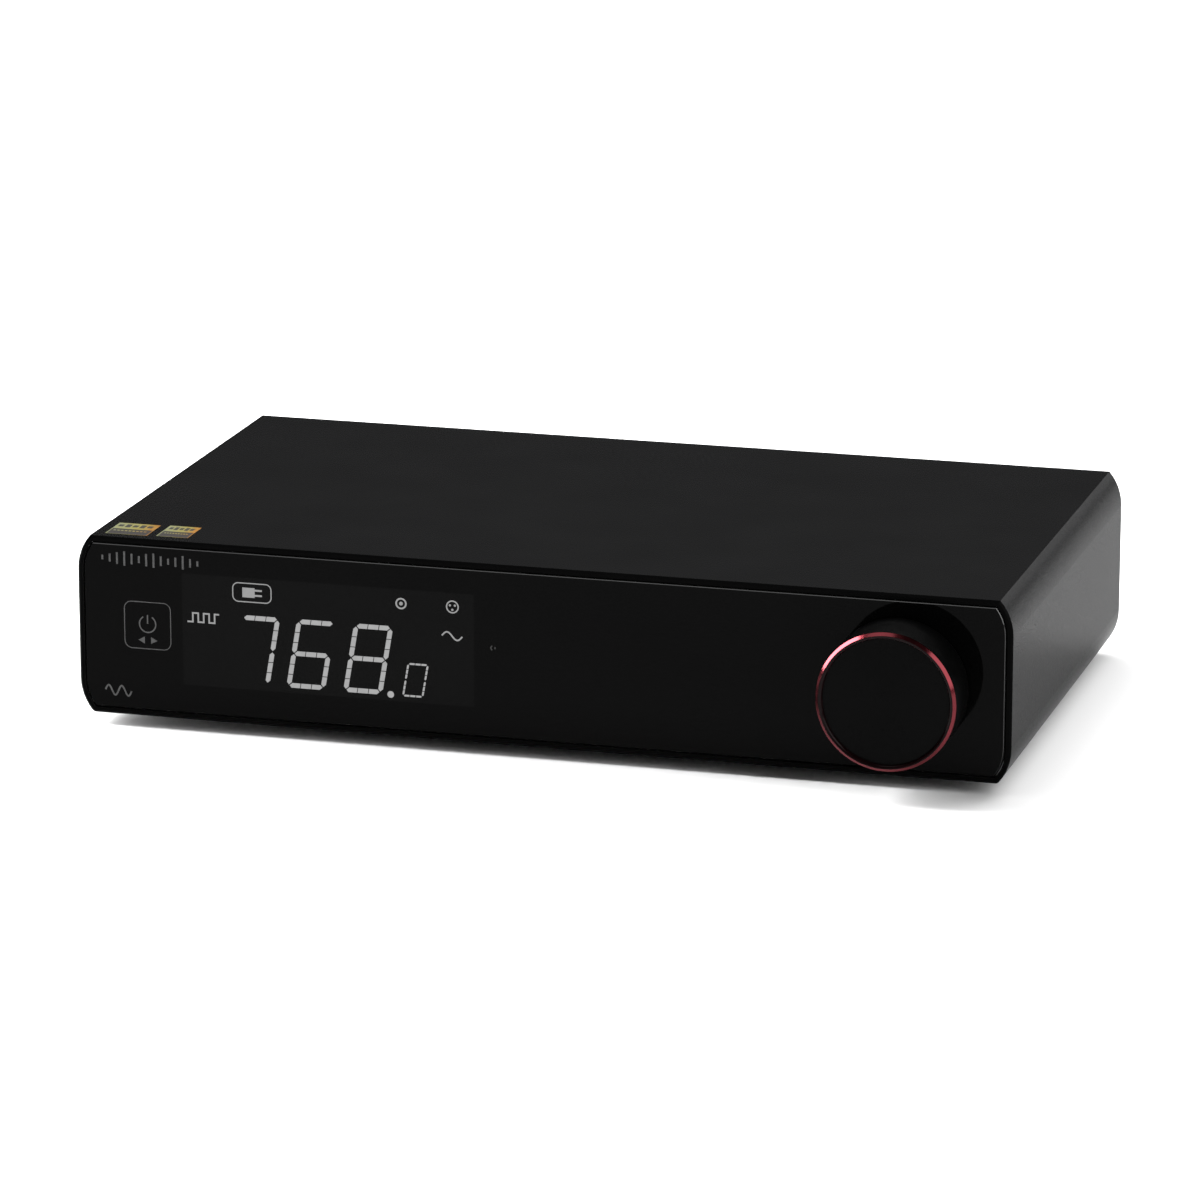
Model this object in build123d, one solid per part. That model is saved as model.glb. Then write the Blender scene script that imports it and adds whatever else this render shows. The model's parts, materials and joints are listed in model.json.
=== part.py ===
from build123d import *
import os
from math import atan2, cos, sin, sqrt

# Desktop digital-to-analogue converter: a wide, low metal sleeve with a glass front, a push-and-turn
# knob, a touch square, and a row of sockets on the rear panel.
#
# Millimetres. +X is to the right seen from the front, -Y is the front, +Z is up. Z = 0 is the
# underside of the feet, and X = Y = 0 is the middle of the overall box, knob and sockets included.

# Driving dimensions of the body
CASE_W = 200.0
CASE_D = 113.0
CASE_H = 38.4
FOOT_H = 2.6
CREASE_IN = 2.8  # how far in from the side the top meets the side's curve
CREASE_DROP = 7.4  # how far below the top that curve runs into the upright side
WALL = 2.2
LIP = 1.15  # edge of the sleeve left showing round the glass and the rear panel
EDGE_CHAMFER = 0.45
CREASE_SOFT = 1.2  # rounding of the two lower creases; the upper two stay crisp
LABEL_BEDS = ((-94.8, 9.2, 3.0), (-83.7, 7.0, 3.5))  # left edge, width, distance from the front edge
LABEL_DEPTH = 9.0
LABEL_BED = 0.1  # the foil labels lie in beds this deep, level with the top

# Front
GLASS_T = 1.6
GLASS_GAP = 0.2
GLASS_CHAMFER = 0.3
ADHESIVE_T = 0.2
SUBFRAME_T = 2.0
BOARD_T = 1.6
BOARD_BEHIND = 9.0  # front board, measured back from the glass face

# Knob
KNOB_X = 76.8
KNOB_R = 14.5
KNOB_OUT = 13.2
KNOB_GAP = 0.8
RING_W = 0.6
RING_T = 0.9
FACE_GAP = 0.05  # step between the ring's inner edge and the bore it shares with the face
FACE_SUNK = 0.8
FACE_RIM = 0.05
FACE_SLOPE = 0.7
FACE_SEAT = 0.5  # the face goes this much deeper into the cup than the ring does
GRUB_BACK = 7.0  # grub screw's axis, measured out from the glass face
PRESS = 0.5  # travel of the push
SHAFT_R = 3.0
BUSH_R = 3.5
RUNNING = 0.05  # radial clearance of a shaft in its bush

# Rear
PANEL_T = 2.0
SOCKET_OUT = 9.0  # how far the longest socket stands out of the rear panel
CUT_CLEAR = 0.2

# Places worked out from the sizes above
SHIFT_Y = (KNOB_OUT - SOCKET_OUT) / 2
FRONT_Y = SHIFT_Y - CASE_D / 2
REAR_Y = SHIFT_Y + CASE_D / 2
PANEL_IN_Y = REAR_Y - PANEL_T
MID_Z = FOOT_H + CASE_H / 2
TOP_Z = FOOT_H + CASE_H
CREASE_R = (CREASE_IN**2 + CREASE_DROP**2) / (2 * CREASE_IN)
FACE_R = KNOB_R - RING_W - FACE_GAP
ADHESIVE_Y = FRONT_Y + GLASS_T
SUBFRAME_Y = ADHESIVE_Y + ADHESIVE_T
INSIDE_Y = SUBFRAME_Y + SUBFRAME_T
FRONT_BOARD_Y = FRONT_Y + BOARD_BEHIND
FLOOR_Z = FOOT_H + WALL
BOARD_Z = FOOT_H + 8.0  # underside of the main and power boards
BOARD_TOP = BOARD_Z + BOARD_T
BOSS_X = 94.3
BOSS_R = 3.4
BOSS_IN = 5.4
BOSS_Z = (FOOT_H + BOSS_IN, FOOT_H + CASE_H - BOSS_IN)
SCREW_R = 1.5
SCREW_CLEAR = 0.03
HEAD_CHAMFER = 0.5


# Helpers
def block(x0, x1, y0, y1, z0, z1):
    """Box between two corners."""
    return Pos((x0 + x1) / 2, (y0 + y1) / 2, (z0 + z1) / 2) * Box(x1 - x0, y1 - y0, z1 - z0)


def centred(x, z, width, height, y0, y1):
    """Box with its middle at x, z, running from y0 to y1."""
    return block(x - width / 2, x + width / 2, y0, y1, z - height / 2, z + height / 2)


def rod_y(x, z, radius, y0, y1):
    return Pos(x, (y0 + y1) / 2, z) * Rot(90, 0, 0) * Cylinder(radius, y1 - y0)


def rod_z(x, y, radius, z0, z1):
    return Pos(x, y, (z0 + z1) / 2) * Cylinder(radius, z1 - z0)


def rod_x(y, z, radius, x0, x1):
    return Pos((x0 + x1) / 2, y, z) * Rot(0, 90, 0) * Cylinder(radius, x1 - x0)


def turned(x, y, z, *points):
    """Lathe-turned piece on an axis along Y, from (radius, distance along +Y) corners."""
    return Pos(x, y, z) * revolve(make_face(Polyline(*points, close=True)), Axis.Y)


def tube_y(x, z, outer, inner, y0, y1):
    return rod_y(x, z, outer, y0, y1) - rod_y(x, z, inner, y0 - 1, y1 + 1)


def prism(face, y0, y1):
    """Extrudes a face drawn in X and Z from y0 to y1."""
    return extrude(Plane.XZ.offset(-y1) * face, y1 - y0)


def section(inset):
    """Cross-section of the body, inset evenly: flat top and bottom that meet the side curves at a
    crisp crease, and curves that run smoothly into the upright sides."""
    side = CASE_W / 2 - inset
    top = CASE_H / 2 - inset
    centre_x = CASE_W / 2 - CREASE_R
    centre_z = CASE_H / 2 - CREASE_DROP
    radius = CREASE_R - inset
    crease_x = centre_x + sqrt(radius**2 - (top - centre_z) ** 2)
    half_angle = atan2(top - centre_z, crease_x - centre_x) / 2
    middle = (centre_x + radius * cos(half_angle), centre_z + radius * sin(half_angle))
    quarter = Line((0, top), (crease_x, top))
    quarter += ThreePointArc((crease_x, top), middle, (side, centre_z))
    quarter += Line((side, centre_z), (side, 0))
    half = quarter + mirror(quarter, Plane.XZ)
    return Pos(0, MID_Z) * make_face(half + mirror(half, Plane.YZ))


def slab_of(inset, y0, y1):
    return prism(section(inset), y0, y1)


def group(shapes):
    """Separate solids that share one node."""
    return Compound([solid for shape in shapes for solid in shape.solids()])


def pan_screw(x, y, z, length, head_r=2.7, head_t=1.7):
    """Pan-head screw along Y: its head stands out of y towards +Y, its shank runs to -Y."""
    slot_w = 0.7
    slot_l = 1.3 * head_r
    slot_deep = 0.8
    screw = rod_y(x, z, SCREW_R, y - length, y) + rod_y(x, z, head_r, y, y + head_t)
    screw = chamfer(screw.edges().sort_by(Axis.Y)[-1], HEAD_CHAMFER)
    for width, height in ((slot_w, slot_l), (slot_l, slot_w)):
        screw -= centred(x, z, width, height, y + head_t - slot_deep, y + head_t + 1)
    return screw


def down_screw(x, y, z, length, head_r=2.6, head_t=1.6):
    """Pan-head screw along Z: its head stands on z, its shank runs down."""
    return rod_z(x, y, SCREW_R, z - length, z) + rod_z(x, y, head_r, z, z + head_t)


# Sleeve, glass and front frame
def case_sleeve():
    """Extruded sleeve, open at both ends, rebated for the front and the rear panel, with a screw
    channel along each inner corner."""
    boss_depth = 14.0
    sleeve = slab_of(0, FRONT_Y, REAR_Y)
    lowest = sleeve.edges().filter_by(Axis.Y).group_by(Axis.Z)[0]
    sleeve = fillet([edge for edge in lowest if abs(edge.center().X) > KNOB_X], CREASE_SOFT)
    hollow = slab_of(WALL, FRONT_Y - 1, REAR_Y + 1)
    for x in (-BOSS_X, BOSS_X):
        for z in BOSS_Z:
            hollow -= rod_y(x, z, BOSS_R, FRONT_Y - 1, REAR_Y + 1)
    sleeve -= hollow
    sleeve -= slab_of(LIP, FRONT_Y - 1, INSIDE_Y)
    sleeve -= slab_of(LIP, PANEL_IN_Y, REAR_Y + 1)
    for x in (-BOSS_X, BOSS_X):
        for z in BOSS_Z:
            sleeve -= rod_y(x, z, SCREW_R + SCREW_CLEAR, INSIDE_Y - 1, INSIDE_Y + boss_depth)
            sleeve -= rod_y(x, z, SCREW_R + SCREW_CLEAR, PANEL_IN_Y - boss_depth, PANEL_IN_Y + 1)
    for end in (0, -1):
        rim = sleeve.faces().sort_by(Axis.Y)[end].outer_wire().edges()
        sleeve = chamfer(rim, EDGE_CHAMFER)
    for x, y in FOOT_PLACES:
        sleeve -= rod_z(x, y, SCREW_R + SCREW_CLEAR, FOOT_H - 1, FLOOR_Z + 1)
    for left, width, back in LABEL_BEDS:
        bed_y = FRONT_Y + back
        sleeve -= block(left, left + width, bed_y, bed_y + LABEL_DEPTH, TOP_Z - LABEL_BED, TOP_Z + 1)
    return sleeve


DISPLAY_X = (-77.4, -12.8)
DISPLAY_Z = (FOOT_H + 7.1, FOOT_H + 32.2)
DISPLAY_BACK = SUBFRAME_Y + 1.9
TOUCH_X = -84.7
TOUCH_Z = FOOT_H + 19.75
EYE_X = -9.2
EYE_Z = FOOT_H + 20.6
KNOB_Z = MID_Z
NUT_R = 6.4
GLASS_HOLE_R = 7.4


def front_glass():
    glass = slab_of(LIP + GLASS_GAP, FRONT_Y, FRONT_Y + GLASS_T)
    rim = glass.faces().sort_by(Axis.Y)[0].outer_wire().edges()
    glass = chamfer(rim, GLASS_CHAMFER)
    return glass - rod_y(KNOB_X, KNOB_Z, GLASS_HOLE_R, FRONT_Y - 1, FRONT_Y + GLASS_T + 1)


def glass_adhesive():
    """Thin frame of tape between the glass and the front frame."""
    outer = slab_of(LIP + 0.8, ADHESIVE_Y, SUBFRAME_Y)
    return outer - slab_of(LIP + 3.4, ADHESIVE_Y - 1, SUBFRAME_Y + 1)


def front_subframe():
    frame = slab_of(LIP + 0.1, SUBFRAME_Y, INSIDE_Y)
    frame -= block(*DISPLAY_X, SUBFRAME_Y - 1, INSIDE_Y + 1, *DISPLAY_Z)
    frame -= centred(TOUCH_X, TOUCH_Z, 11.0, 11.6, SUBFRAME_Y - 1, INSIDE_Y + 1)
    frame -= rod_y(EYE_X, EYE_Z, 2.7, SUBFRAME_Y - 1, INSIDE_Y + 1)
    frame -= rod_y(KNOB_X, KNOB_Z, BUSH_R + SCREW_CLEAR, SUBFRAME_Y - 1, INSIDE_Y + 1)
    for x in (-BOSS_X, BOSS_X):
        for z in BOSS_Z:
            frame -= front_screw(x, z, SCREW_CLEAR)
    return frame


def front_screw(x, z, grow=0.0):
    """Countersunk screw, flush with the front frame; grow widens it to cut its own hole."""
    head = turned(x, SUBFRAME_Y, z, (0, -grow), (2.8 + grow, -grow), (SCREW_R + grow, 1.4), (0, 1.4))
    return head + rod_y(x, z, SCREW_R + grow, SUBFRAME_Y + 1, INSIDE_Y + 10)


def front_screws():
    return group(front_screw(x, z) for x in (-BOSS_X, BOSS_X) for z in BOSS_Z)


# Display, touch square and remote-control eye
def display_panel():
    return block(DISPLAY_X[0] + 0.2, DISPLAY_X[1] - 0.2, ADHESIVE_Y + 0.1, DISPLAY_BACK,
                 DISPLAY_Z[0] + 0.2, DISPLAY_Z[1] - 0.2)


def display_housing():
    """Tray that holds the panel against the glass and stands on the front board."""
    tray = block(*DISPLAY_X, INSIDE_Y + 0.1, FRONT_BOARD_Y, *DISPLAY_Z)
    return tray - block(DISPLAY_X[0] + 1, DISPLAY_X[1] - 1, INSIDE_Y - 1, FRONT_BOARD_Y - 1.2,
                        DISPLAY_Z[0] + 1, DISPLAY_Z[1] - 1)


def touch_pad():
    return centred(TOUCH_X, TOUCH_Z, 10.4, 11.0, ADHESIVE_Y + 0.05, ADHESIVE_Y + 0.8)


def touch_foam():
    return centred(TOUCH_X, TOUCH_Z, 8.0, 8.0, ADHESIVE_Y + 0.8, FRONT_BOARD_Y)


def infrared_receiver():
    eye = centred(EYE_X, EYE_Z, 5.2, 6.6, INSIDE_Y + 0.6, FRONT_BOARD_Y)
    return eye + Pos(EYE_X, INSIDE_Y + 0.6, EYE_Z) * Sphere(2.2)


def front_board():
    """Upright board: full height between the screw channels, lower beyond them."""
    back = FRONT_BOARD_Y + BOARD_T
    board = block(-89.5, 89.5, FRONT_BOARD_Y, back, FOOT_H + 4.4, FOOT_H + CASE_H - 4.4)
    board += block(-95, 95, FRONT_BOARD_Y, back, FOOT_H + 11, FOOT_H + CASE_H - 11)
    for x, z in FRONT_POSTS:
        board -= rod_y(x, z, SCREW_R + SCREW_CLEAR, FRONT_BOARD_Y - 1, back + 1)
    return board


FRONT_POSTS = [(x, FOOT_H + z) for x in (-4.0, 58.0) for z in (8.0, 30.4)]


# Push-and-turn encoder and its knob
ENCODER_FRONT = INSIDE_Y
CAVITY_Y = ENCODER_FRONT + 1.0
CAVITY_R = 4.5
FLANGE_Y = CAVITY_Y + 0.15
PLUNGER_Y = FLANGE_Y + 0.75
NUB_TIP_Y = PLUNGER_Y + 1.7
DOME_Y = NUB_TIP_Y + PRESS + 0.1


def encoder_housing():
    body = centred(KNOB_X, KNOB_Z, 12.5, 13.4, ENCODER_FRONT, FRONT_BOARD_Y)
    body -= rod_y(KNOB_X, KNOB_Z, BUSH_R + SCREW_CLEAR, ENCODER_FRONT - 1, CAVITY_Y)
    return body - rod_y(KNOB_X, KNOB_Z, CAVITY_R, CAVITY_Y, DOME_Y + 0.3)


def encoder_bush():
    """Threaded neck that the nut clamps; the shaft turns and slides in it."""
    ahead = 3.5
    return tube_y(KNOB_X, KNOB_Z, BUSH_R, SHAFT_R + RUNNING, FRONT_Y - ahead, CAVITY_Y)


def encoder_nut():
    """Hexagon nut on the neck, sitting in the hole of the glass."""
    nut = prism(Pos(KNOB_X, KNOB_Z) * RegularPolygon(NUT_R, 6), SUBFRAME_Y - 2.2, SUBFRAME_Y - 0.4)
    return nut - rod_y(KNOB_X, KNOB_Z, BUSH_R + SCREW_CLEAR, SUBFRAME_Y - 4, SUBFRAME_Y + 1)


def push_plunger():
    """Carries the push from the shaft to the switch dome; it slides and doesn't turn."""
    disc = rod_y(KNOB_X, KNOB_Z, CAVITY_R - 0.4, PLUNGER_Y, PLUNGER_Y + 0.9)
    return disc + rod_y(KNOB_X, KNOB_Z, 1.0, PLUNGER_Y + 0.5, NUB_TIP_Y)


def push_dome():
    return rod_y(KNOB_X, KNOB_Z, 2.5, DOME_Y, DOME_Y + 0.3)


BORE_END = -10.9
SHAFT_END = -10.6


def encoder_shaft():
    flange_r = 3.9
    reach = FLANGE_Y + 0.65 - FRONT_Y
    flange = FLANGE_Y - FRONT_Y
    return turned(KNOB_X, FRONT_Y, KNOB_Z, (0, SHAFT_END), (SHAFT_R - 0.4, SHAFT_END),
                  (SHAFT_R, SHAFT_END + 0.4), (SHAFT_R, flange), (flange_r, flange),
                  (flange_r, reach), (0, reach))


def knob_shell():
    """Turned cup: smooth side, a seat for the coloured ring and the face, and a hub on the shaft."""
    front = -KNOB_OUT + RING_T
    face_seat = front + FACE_SEAT
    wall = KNOB_R - 2.2
    hub_r = 6.2
    recess_end = -4.2
    web = -9.6
    bore_r = SHAFT_R + 0.02
    shell = turned(KNOB_X, FRONT_Y, KNOB_Z, (bore_r, recess_end), (hub_r, recess_end), (hub_r, web),
                   (wall, web), (wall, -KNOB_GAP), (KNOB_R - 0.25, -KNOB_GAP), (KNOB_R, -KNOB_GAP - 0.25),
                   (KNOB_R, front), (FACE_R, front), (FACE_R, face_seat), (0, face_seat),
                   (0, BORE_END), (bore_r, BORE_END))
    hole = rod_z(KNOB_X, FRONT_Y - GRUB_BACK, SCREW_R + SCREW_CLEAR, KNOB_Z - KNOB_R - 1, KNOB_Z - 2)
    return shell - hole


def knob_ring():
    """Coloured ring with a bright bevel, pressed round the knob's face."""
    front = -KNOB_OUT
    seat = front + RING_T
    return turned(KNOB_X, FRONT_Y, KNOB_Z, (FACE_R, front), (KNOB_R - RING_W, front),
                  (KNOB_R, front + RING_W), (KNOB_R, seat), (FACE_R, seat))


def knob_face():
    """Flat disc sunk a little inside a fine rim, with a sloping step between them."""
    front = -KNOB_OUT
    flat_r = FACE_R - FACE_RIM - FACE_SLOPE
    back = front + RING_T + FACE_SEAT
    return turned(KNOB_X, FRONT_Y, KNOB_Z, (0, front + FACE_SUNK), (flat_r, front + FACE_SUNK),
                  (FACE_R - FACE_RIM, front), (FACE_R, front), (FACE_R, back), (0, back))


def knob_grub_screw():
    y = FRONT_Y - GRUB_BACK
    screw = rod_z(KNOB_X, y, SCREW_R, KNOB_Z - 9.0, KNOB_Z - SHAFT_R - 0.05)
    socket = prism(RegularPolygon(0.9, 6), 0, 1.8)
    return screw - Pos(KNOB_X, y, KNOB_Z - 9.2) * Rot(-90, 0, 0) * socket


# Boards and what stands on them
MAIN_X = (-90.0, 43.0)
POWER_X = (46.5, 90.0)
BOARD_Y = (FRONT_Y + 13.5, PANEL_IN_Y - 0.6)
POST_INSET = 5.0


def post_places(span):
    return [(x, y) for x in (span[0] + POST_INSET, span[1] - POST_INSET)
            for y in (BOARD_Y[0] + POST_INSET, BOARD_Y[1] - 24)]


def board(span):
    plate = block(*span, *BOARD_Y, BOARD_Z, BOARD_TOP)
    for x, y in post_places(span):
        plate -= rod_z(x, y, SCREW_R + SCREW_CLEAR, BOARD_Z - 1, BOARD_TOP + 1)
    return plate


def main_board():
    """Main board, notched at the back edge to clear the balanced outputs."""
    plate = board(MAIN_X)
    for x in OUTPUTS_X:
        plate -= block(x - 12.4, x + 12.4, REAR_Y - OUTPUT_DEEP - 1, REAR_Y, BOARD_Z - 1, BOARD_TOP + 1)
    return plate


def board_standoffs():
    """Posts on the sleeve's floor for the flat boards, and on the front frame for the front board."""
    hole = SCREW_R + SCREW_CLEAR
    posts = [rod_z(x, y, 2.9, FLOOR_Z, BOARD_Z) - rod_z(x, y, hole, FLOOR_Z + 0.6, BOARD_Z + 1)
             for x, y in post_places(MAIN_X) + post_places(POWER_X)]
    posts += [tube_y(x, z, 2.8, hole, INSIDE_Y, FRONT_BOARD_Y) for x, z in FRONT_POSTS]
    return group(posts)


def board_screws():
    length = 5.2
    screws = [down_screw(x, y, BOARD_TOP, length) for x, y in post_places(MAIN_X) + post_places(POWER_X)]
    screws += [pan_screw(x, FRONT_BOARD_Y + BOARD_T, z, length) for x, z in FRONT_POSTS]
    return group(screws)


def insulation_sheet():
    """Film under the mains side, cut out round the standoffs."""
    sheet = block(POWER_X[0], POWER_X[1], *BOARD_Y, BOARD_Z - 1.6, BOARD_Z - 1.2)
    for x, y in post_places(POWER_X):
        sheet -= rod_z(x, y, 3.4, BOARD_Z - 2, BOARD_Z)
    return sheet


def board_connectors():
    """Header between the front and main boards, the power link, and the display's two rows of pins."""
    header = block(-32, -8, FRONT_BOARD_Y + BOARD_T, BOARD_Y[0] + 4, BOARD_TOP, BOARD_TOP + 5)
    link = block(MAIN_X[1] - 5, POWER_X[0] + 5, 0, 12, BOARD_TOP, BOARD_TOP + 6)
    count = 18
    pitch = 2.54
    first = (DISPLAY_X[0] + DISPLAY_X[1] - pitch * (count - 1)) / 2
    rows = (DISPLAY_Z[0] + 2.2, DISPLAY_Z[1] - 2.2)
    pins = [centred(first + pitch * i, z, 0.5, 0.5, DISPLAY_BACK, FRONT_BOARD_Y - 1.2)
            for i in range(count) for z in rows]
    return group([header, link] + pins)


def chip(x, y, width, depth, height, legs=0):
    """Moulded chip with its legs, if it has them, along the two X sides."""
    body = block(x - width / 2, x + width / 2, y - depth / 2, y + depth / 2,
                 BOARD_TOP + 0.15, BOARD_TOP + height)
    body += block(x - width / 3, x + width / 3, y - depth / 3, y + depth / 3, BOARD_TOP, BOARD_TOP + 0.3)
    for i in range(legs):
        leg_y = y + (i - (legs - 1) / 2) * depth / legs
        body += block(x - width / 2 - 0.9, x + width / 2 + 0.9, leg_y - 0.2, leg_y + 0.2,
                      BOARD_TOP, BOARD_TOP + 0.4)
    return body


def can(x, y, radius, height):
    """Upright capacitor with a crimped waist and a rounded top edge."""
    top_round = 0.6
    waist = (1.4, 2.0)
    waist_deep = 0.3
    body = rod_z(x, y, radius, BOARD_TOP, BOARD_TOP + height)
    body = fillet(body.edges().sort_by(Axis.Z)[-1], top_round)
    groove = rod_z(x, y, radius + 1, BOARD_TOP + waist[0], BOARD_TOP + waist[1])
    return body - (groove - rod_z(x, y, radius - waist_deep, BOARD_TOP, BOARD_TOP + height))


def converter_chips():
    return group(chip(x, 10, 7, 7, 1.4, 8) for x in (-74.0, -44.0))


def support_chips():
    """Output amplifiers, the digital receiver and the voltage regulators."""
    amplifiers = [chip(x, y, 4, 5, 1.6, 4) for x in (-84.0, -74.0, -54.0, -44.0) for y in (24.0, -2.0)]
    regulators = [chip(x, -22, 6.5, 6, 2.3, 3) for x in (-14.0, 2.0, 18.0)]
    return group(amplifiers + regulators + [chip(-6, 22, 12, 12, 1.4, 12)])


def clock_crystals():
    return group(block(x, x + 5, 4, 7.2, BOARD_TOP, BOARD_TOP + 1.3) for x in (-24.0, -14.0))


def output_relays():
    return group(block(x - 7.5, x + 7.5, 12, 20, BOARD_TOP, BOARD_TOP + 10) for x in (-62.0, -26.0))


def capacitors():
    """Filter cans on the main board, and the bulk and output cans on the power board."""
    small = [can(x, y, 4, 11) for x in (-80.0, -64.0, -48.0, -32.0) for y in (-16.0, -28.0)]
    tall = [can(x, -30, 4, 14) for x in (62.0, 73.0)]
    return group(small + tall + [can(82.5, 14, 6, 20)])


def shield_can():
    """Tin box over the radio module, folded up at the sides and open below."""
    can_box = block(14, 34, 12, 30, BOARD_TOP, BOARD_TOP + 3.2)
    return can_box - block(14.3, 33.7, 12.3, 29.7, BOARD_TOP - 1, BOARD_TOP + 2.9)


def power_transformer():
    """Ferrite core round a taped winding."""
    core = block(58, 80, -18, 0, BOARD_TOP + 2, BOARD_TOP + 20)
    core -= block(61, 77, -19, 1, BOARD_TOP + 5, BOARD_TOP + 17)
    winding = block(61.2, 76.8, -20, 2, BOARD_TOP, BOARD_TOP + 16.8)
    return core, winding - block(57, 81, -18.2, 0.2, BOARD_TOP - 1, BOARD_TOP + 5.2)


def filter_choke():
    ring = rod_x(12, BOARD_TOP + 8.5, 8, 64, 72) - rod_x(12, BOARD_TOP + 8.5, 3.6, 63, 73)
    return fillet(ring.edges(), 0.8) + block(63, 73, 6, 18, BOARD_TOP, BOARD_TOP + 1.2)


def heat_sink():
    """Finned block beside the transformer."""
    fin = 1.0
    sink = block(51, 53, -20, -2, BOARD_TOP, BOARD_TOP + 18)
    for i in range(5):
        y = -20 + i * (18 - fin) / 4
        sink += block(50, 55.5, y, y + fin, BOARD_TOP, BOARD_TOP + 18)
    return sink


def mains_fuse():
    return rod_x(26, BOARD_TOP + 3, 2.6, 66, 86) + block(67, 85, 24, 28, BOARD_TOP, BOARD_TOP + 1.5)


# Rear panel and its sockets
OUTPUTS_X = (-76.5, -48.5)
PHONO_PAIR_X = -29.0
PHONO_PAIR_Z = (BOARD_TOP + 5.2, BOARD_TOP + 19.0)
TRIGGER_X = -17.0
TRIGGER_Z = (BOARD_TOP + 5.4, BOARD_TOP + 16.4)
DIGITAL_X = -5.0
DIGITAL_Z = BOARD_TOP + 5.6
COAX_X = 9.0
COAX_Z = BOARD_TOP + 7.0
OPTICAL_X = 22.0
OPTICAL_Z = BOARD_TOP + 5.2
ANTENNA_X = 35.0
ANTENNA_Z = BOARD_TOP + 7.0
ROCKER_X = 53.0
ROCKER_Z = BOARD_TOP + 10.8
INLET_X = 75.0
INLET_Z = BOARD_TOP + 8.4

HOUSING_R = 11.4
CAVITY_OUT_R = 9.4
PHONO_R = 4.15
DIGITAL_SIZE = (12.0, 11.0)
OPTICAL_SIZE = (9.8, 10.2)
ROCKER_CUT = (13.8, 20.0)
INLET_CUT = (21.0, 15.0)
THREAD_R = 3.15


def phono_places():
    return [(PHONO_PAIR_X, z) for z in PHONO_PAIR_Z] + [(COAX_X, COAX_Z)]


def rear_panel():
    panel = slab_of(LIP + 0.12, PANEL_IN_Y, REAR_Y)
    y0 = PANEL_IN_Y - 1
    y1 = REAR_Y + 1
    for x in OUTPUTS_X:
        panel -= rod_y(x, MID_Z, HOUSING_R + CUT_CLEAR, y0, y1)
        for sign in (-1, 1):
            hole_x = x + sign * FLANGE_HOLE_X
            hole_z = MID_Z + sign * FLANGE_HOLE_Z
            panel -= rod_y(hole_x, hole_z, SCREW_R + SCREW_CLEAR, y0, y1)
    for x, z in phono_places():
        panel -= rod_y(x, z, PHONO_R + CUT_CLEAR, y0, y1)
    for z in TRIGGER_Z:
        panel -= rod_y(TRIGGER_X, z, 3.0 + CUT_CLEAR, y0, y1)
    panel -= rod_y(ANTENNA_X, ANTENNA_Z, THREAD_R + CUT_CLEAR, y0, y1)
    for x, z, size in ((DIGITAL_X, DIGITAL_Z, DIGITAL_SIZE), (OPTICAL_X, OPTICAL_Z, OPTICAL_SIZE),
                       (ROCKER_X, ROCKER_Z, ROCKER_CUT), (INLET_X, INLET_Z, INLET_CUT)):
        panel -= centred(x, z, size[0] + 2 * CUT_CLEAR, size[1] + 2 * CUT_CLEAR, y0, y1)
    for x in (-BOSS_X, BOSS_X):
        for z in BOSS_Z:
            panel -= rod_y(x, z, SCREW_R + 0.1, y0, y1)
    return panel


def rear_panel_screws():
    """Screws at the panel's corners and through the flanges of the balanced outputs."""
    corners = [pan_screw(x, REAR_Y, z, PANEL_T + 8) for x in (-BOSS_X, BOSS_X) for z in BOSS_Z]
    flanges = [pan_screw(x + sign * FLANGE_HOLE_X, REAR_Y + FLANGE_T, MID_Z + sign * FLANGE_HOLE_Z, 6,
                         head_r=2.4, head_t=1.3) for x in OUTPUTS_X for sign in (-1, 1)]
    return group(corners + flanges)


# Balanced outputs
FLANGE_W = 26.0
FLANGE_H = 31.0
FLANGE_T = 1.8
FLANGE_HOLE_X = 9.5
FLANGE_HOLE_Z = 12.0
OUTPUT_DEEP = 18.0
OUTPUT_CAVITY = 12.0
OUTPUT_PIN_R = 1.2
OUTPUT_PIN_TIP = -3.2  # measured from the rear panel's face, inwards


def output_housings():
    shapes = []
    for x in OUTPUTS_X:
        flange = centred(x, MID_Z, FLANGE_W, FLANGE_H, REAR_Y, REAR_Y + FLANGE_T)
        flange = fillet(flange.edges().filter_by(Axis.Y), 2.5)
        flange = chamfer(flange.faces().sort_by(Axis.Y)[-1].outer_wire().edges(), 0.4)
        housing = flange + rod_y(x, MID_Z, HOUSING_R, REAR_Y - OUTPUT_DEEP, REAR_Y + 0.2)
        housing -= rod_y(x, MID_Z, CAVITY_OUT_R, REAR_Y - OUTPUT_CAVITY - 2, REAR_Y + FLANGE_T + 1)
        housing -= rod_y(x, MID_Z, CAVITY_OUT_R - 2, REAR_Y - OUTPUT_DEEP - 1, REAR_Y)
        for sign in (-1, 1):
            housing -= rod_y(x + sign * FLANGE_HOLE_X, MID_Z + sign * FLANGE_HOLE_Z,
                             SCREW_R + SCREW_CLEAR, REAR_Y - 1, REAR_Y + FLANGE_T + 1)
        shapes.append(housing)
    return group(shapes)


def output_inserts():
    """Moulded disc that carries the three pins, with the plug's key rib along the bottom."""
    shapes = []
    for x in OUTPUTS_X:
        back = REAR_Y - OUTPUT_CAVITY - 2
        disc = rod_y(x, MID_Z, CAVITY_OUT_R - 0.1, back + 0.1, back + 2)
        rib_low = MID_Z - CAVITY_OUT_R + 0.3
        disc += block(x - 1.1, x + 1.1, back + 1, REAR_Y - 4, rib_low, rib_low + 1.4)
        for px, pz in pin_places(x):
            disc -= rod_y(px, pz, OUTPUT_PIN_R + SCREW_CLEAR, back - 1, back + 3)
        shapes.append(disc)
    return group(shapes)


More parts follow.
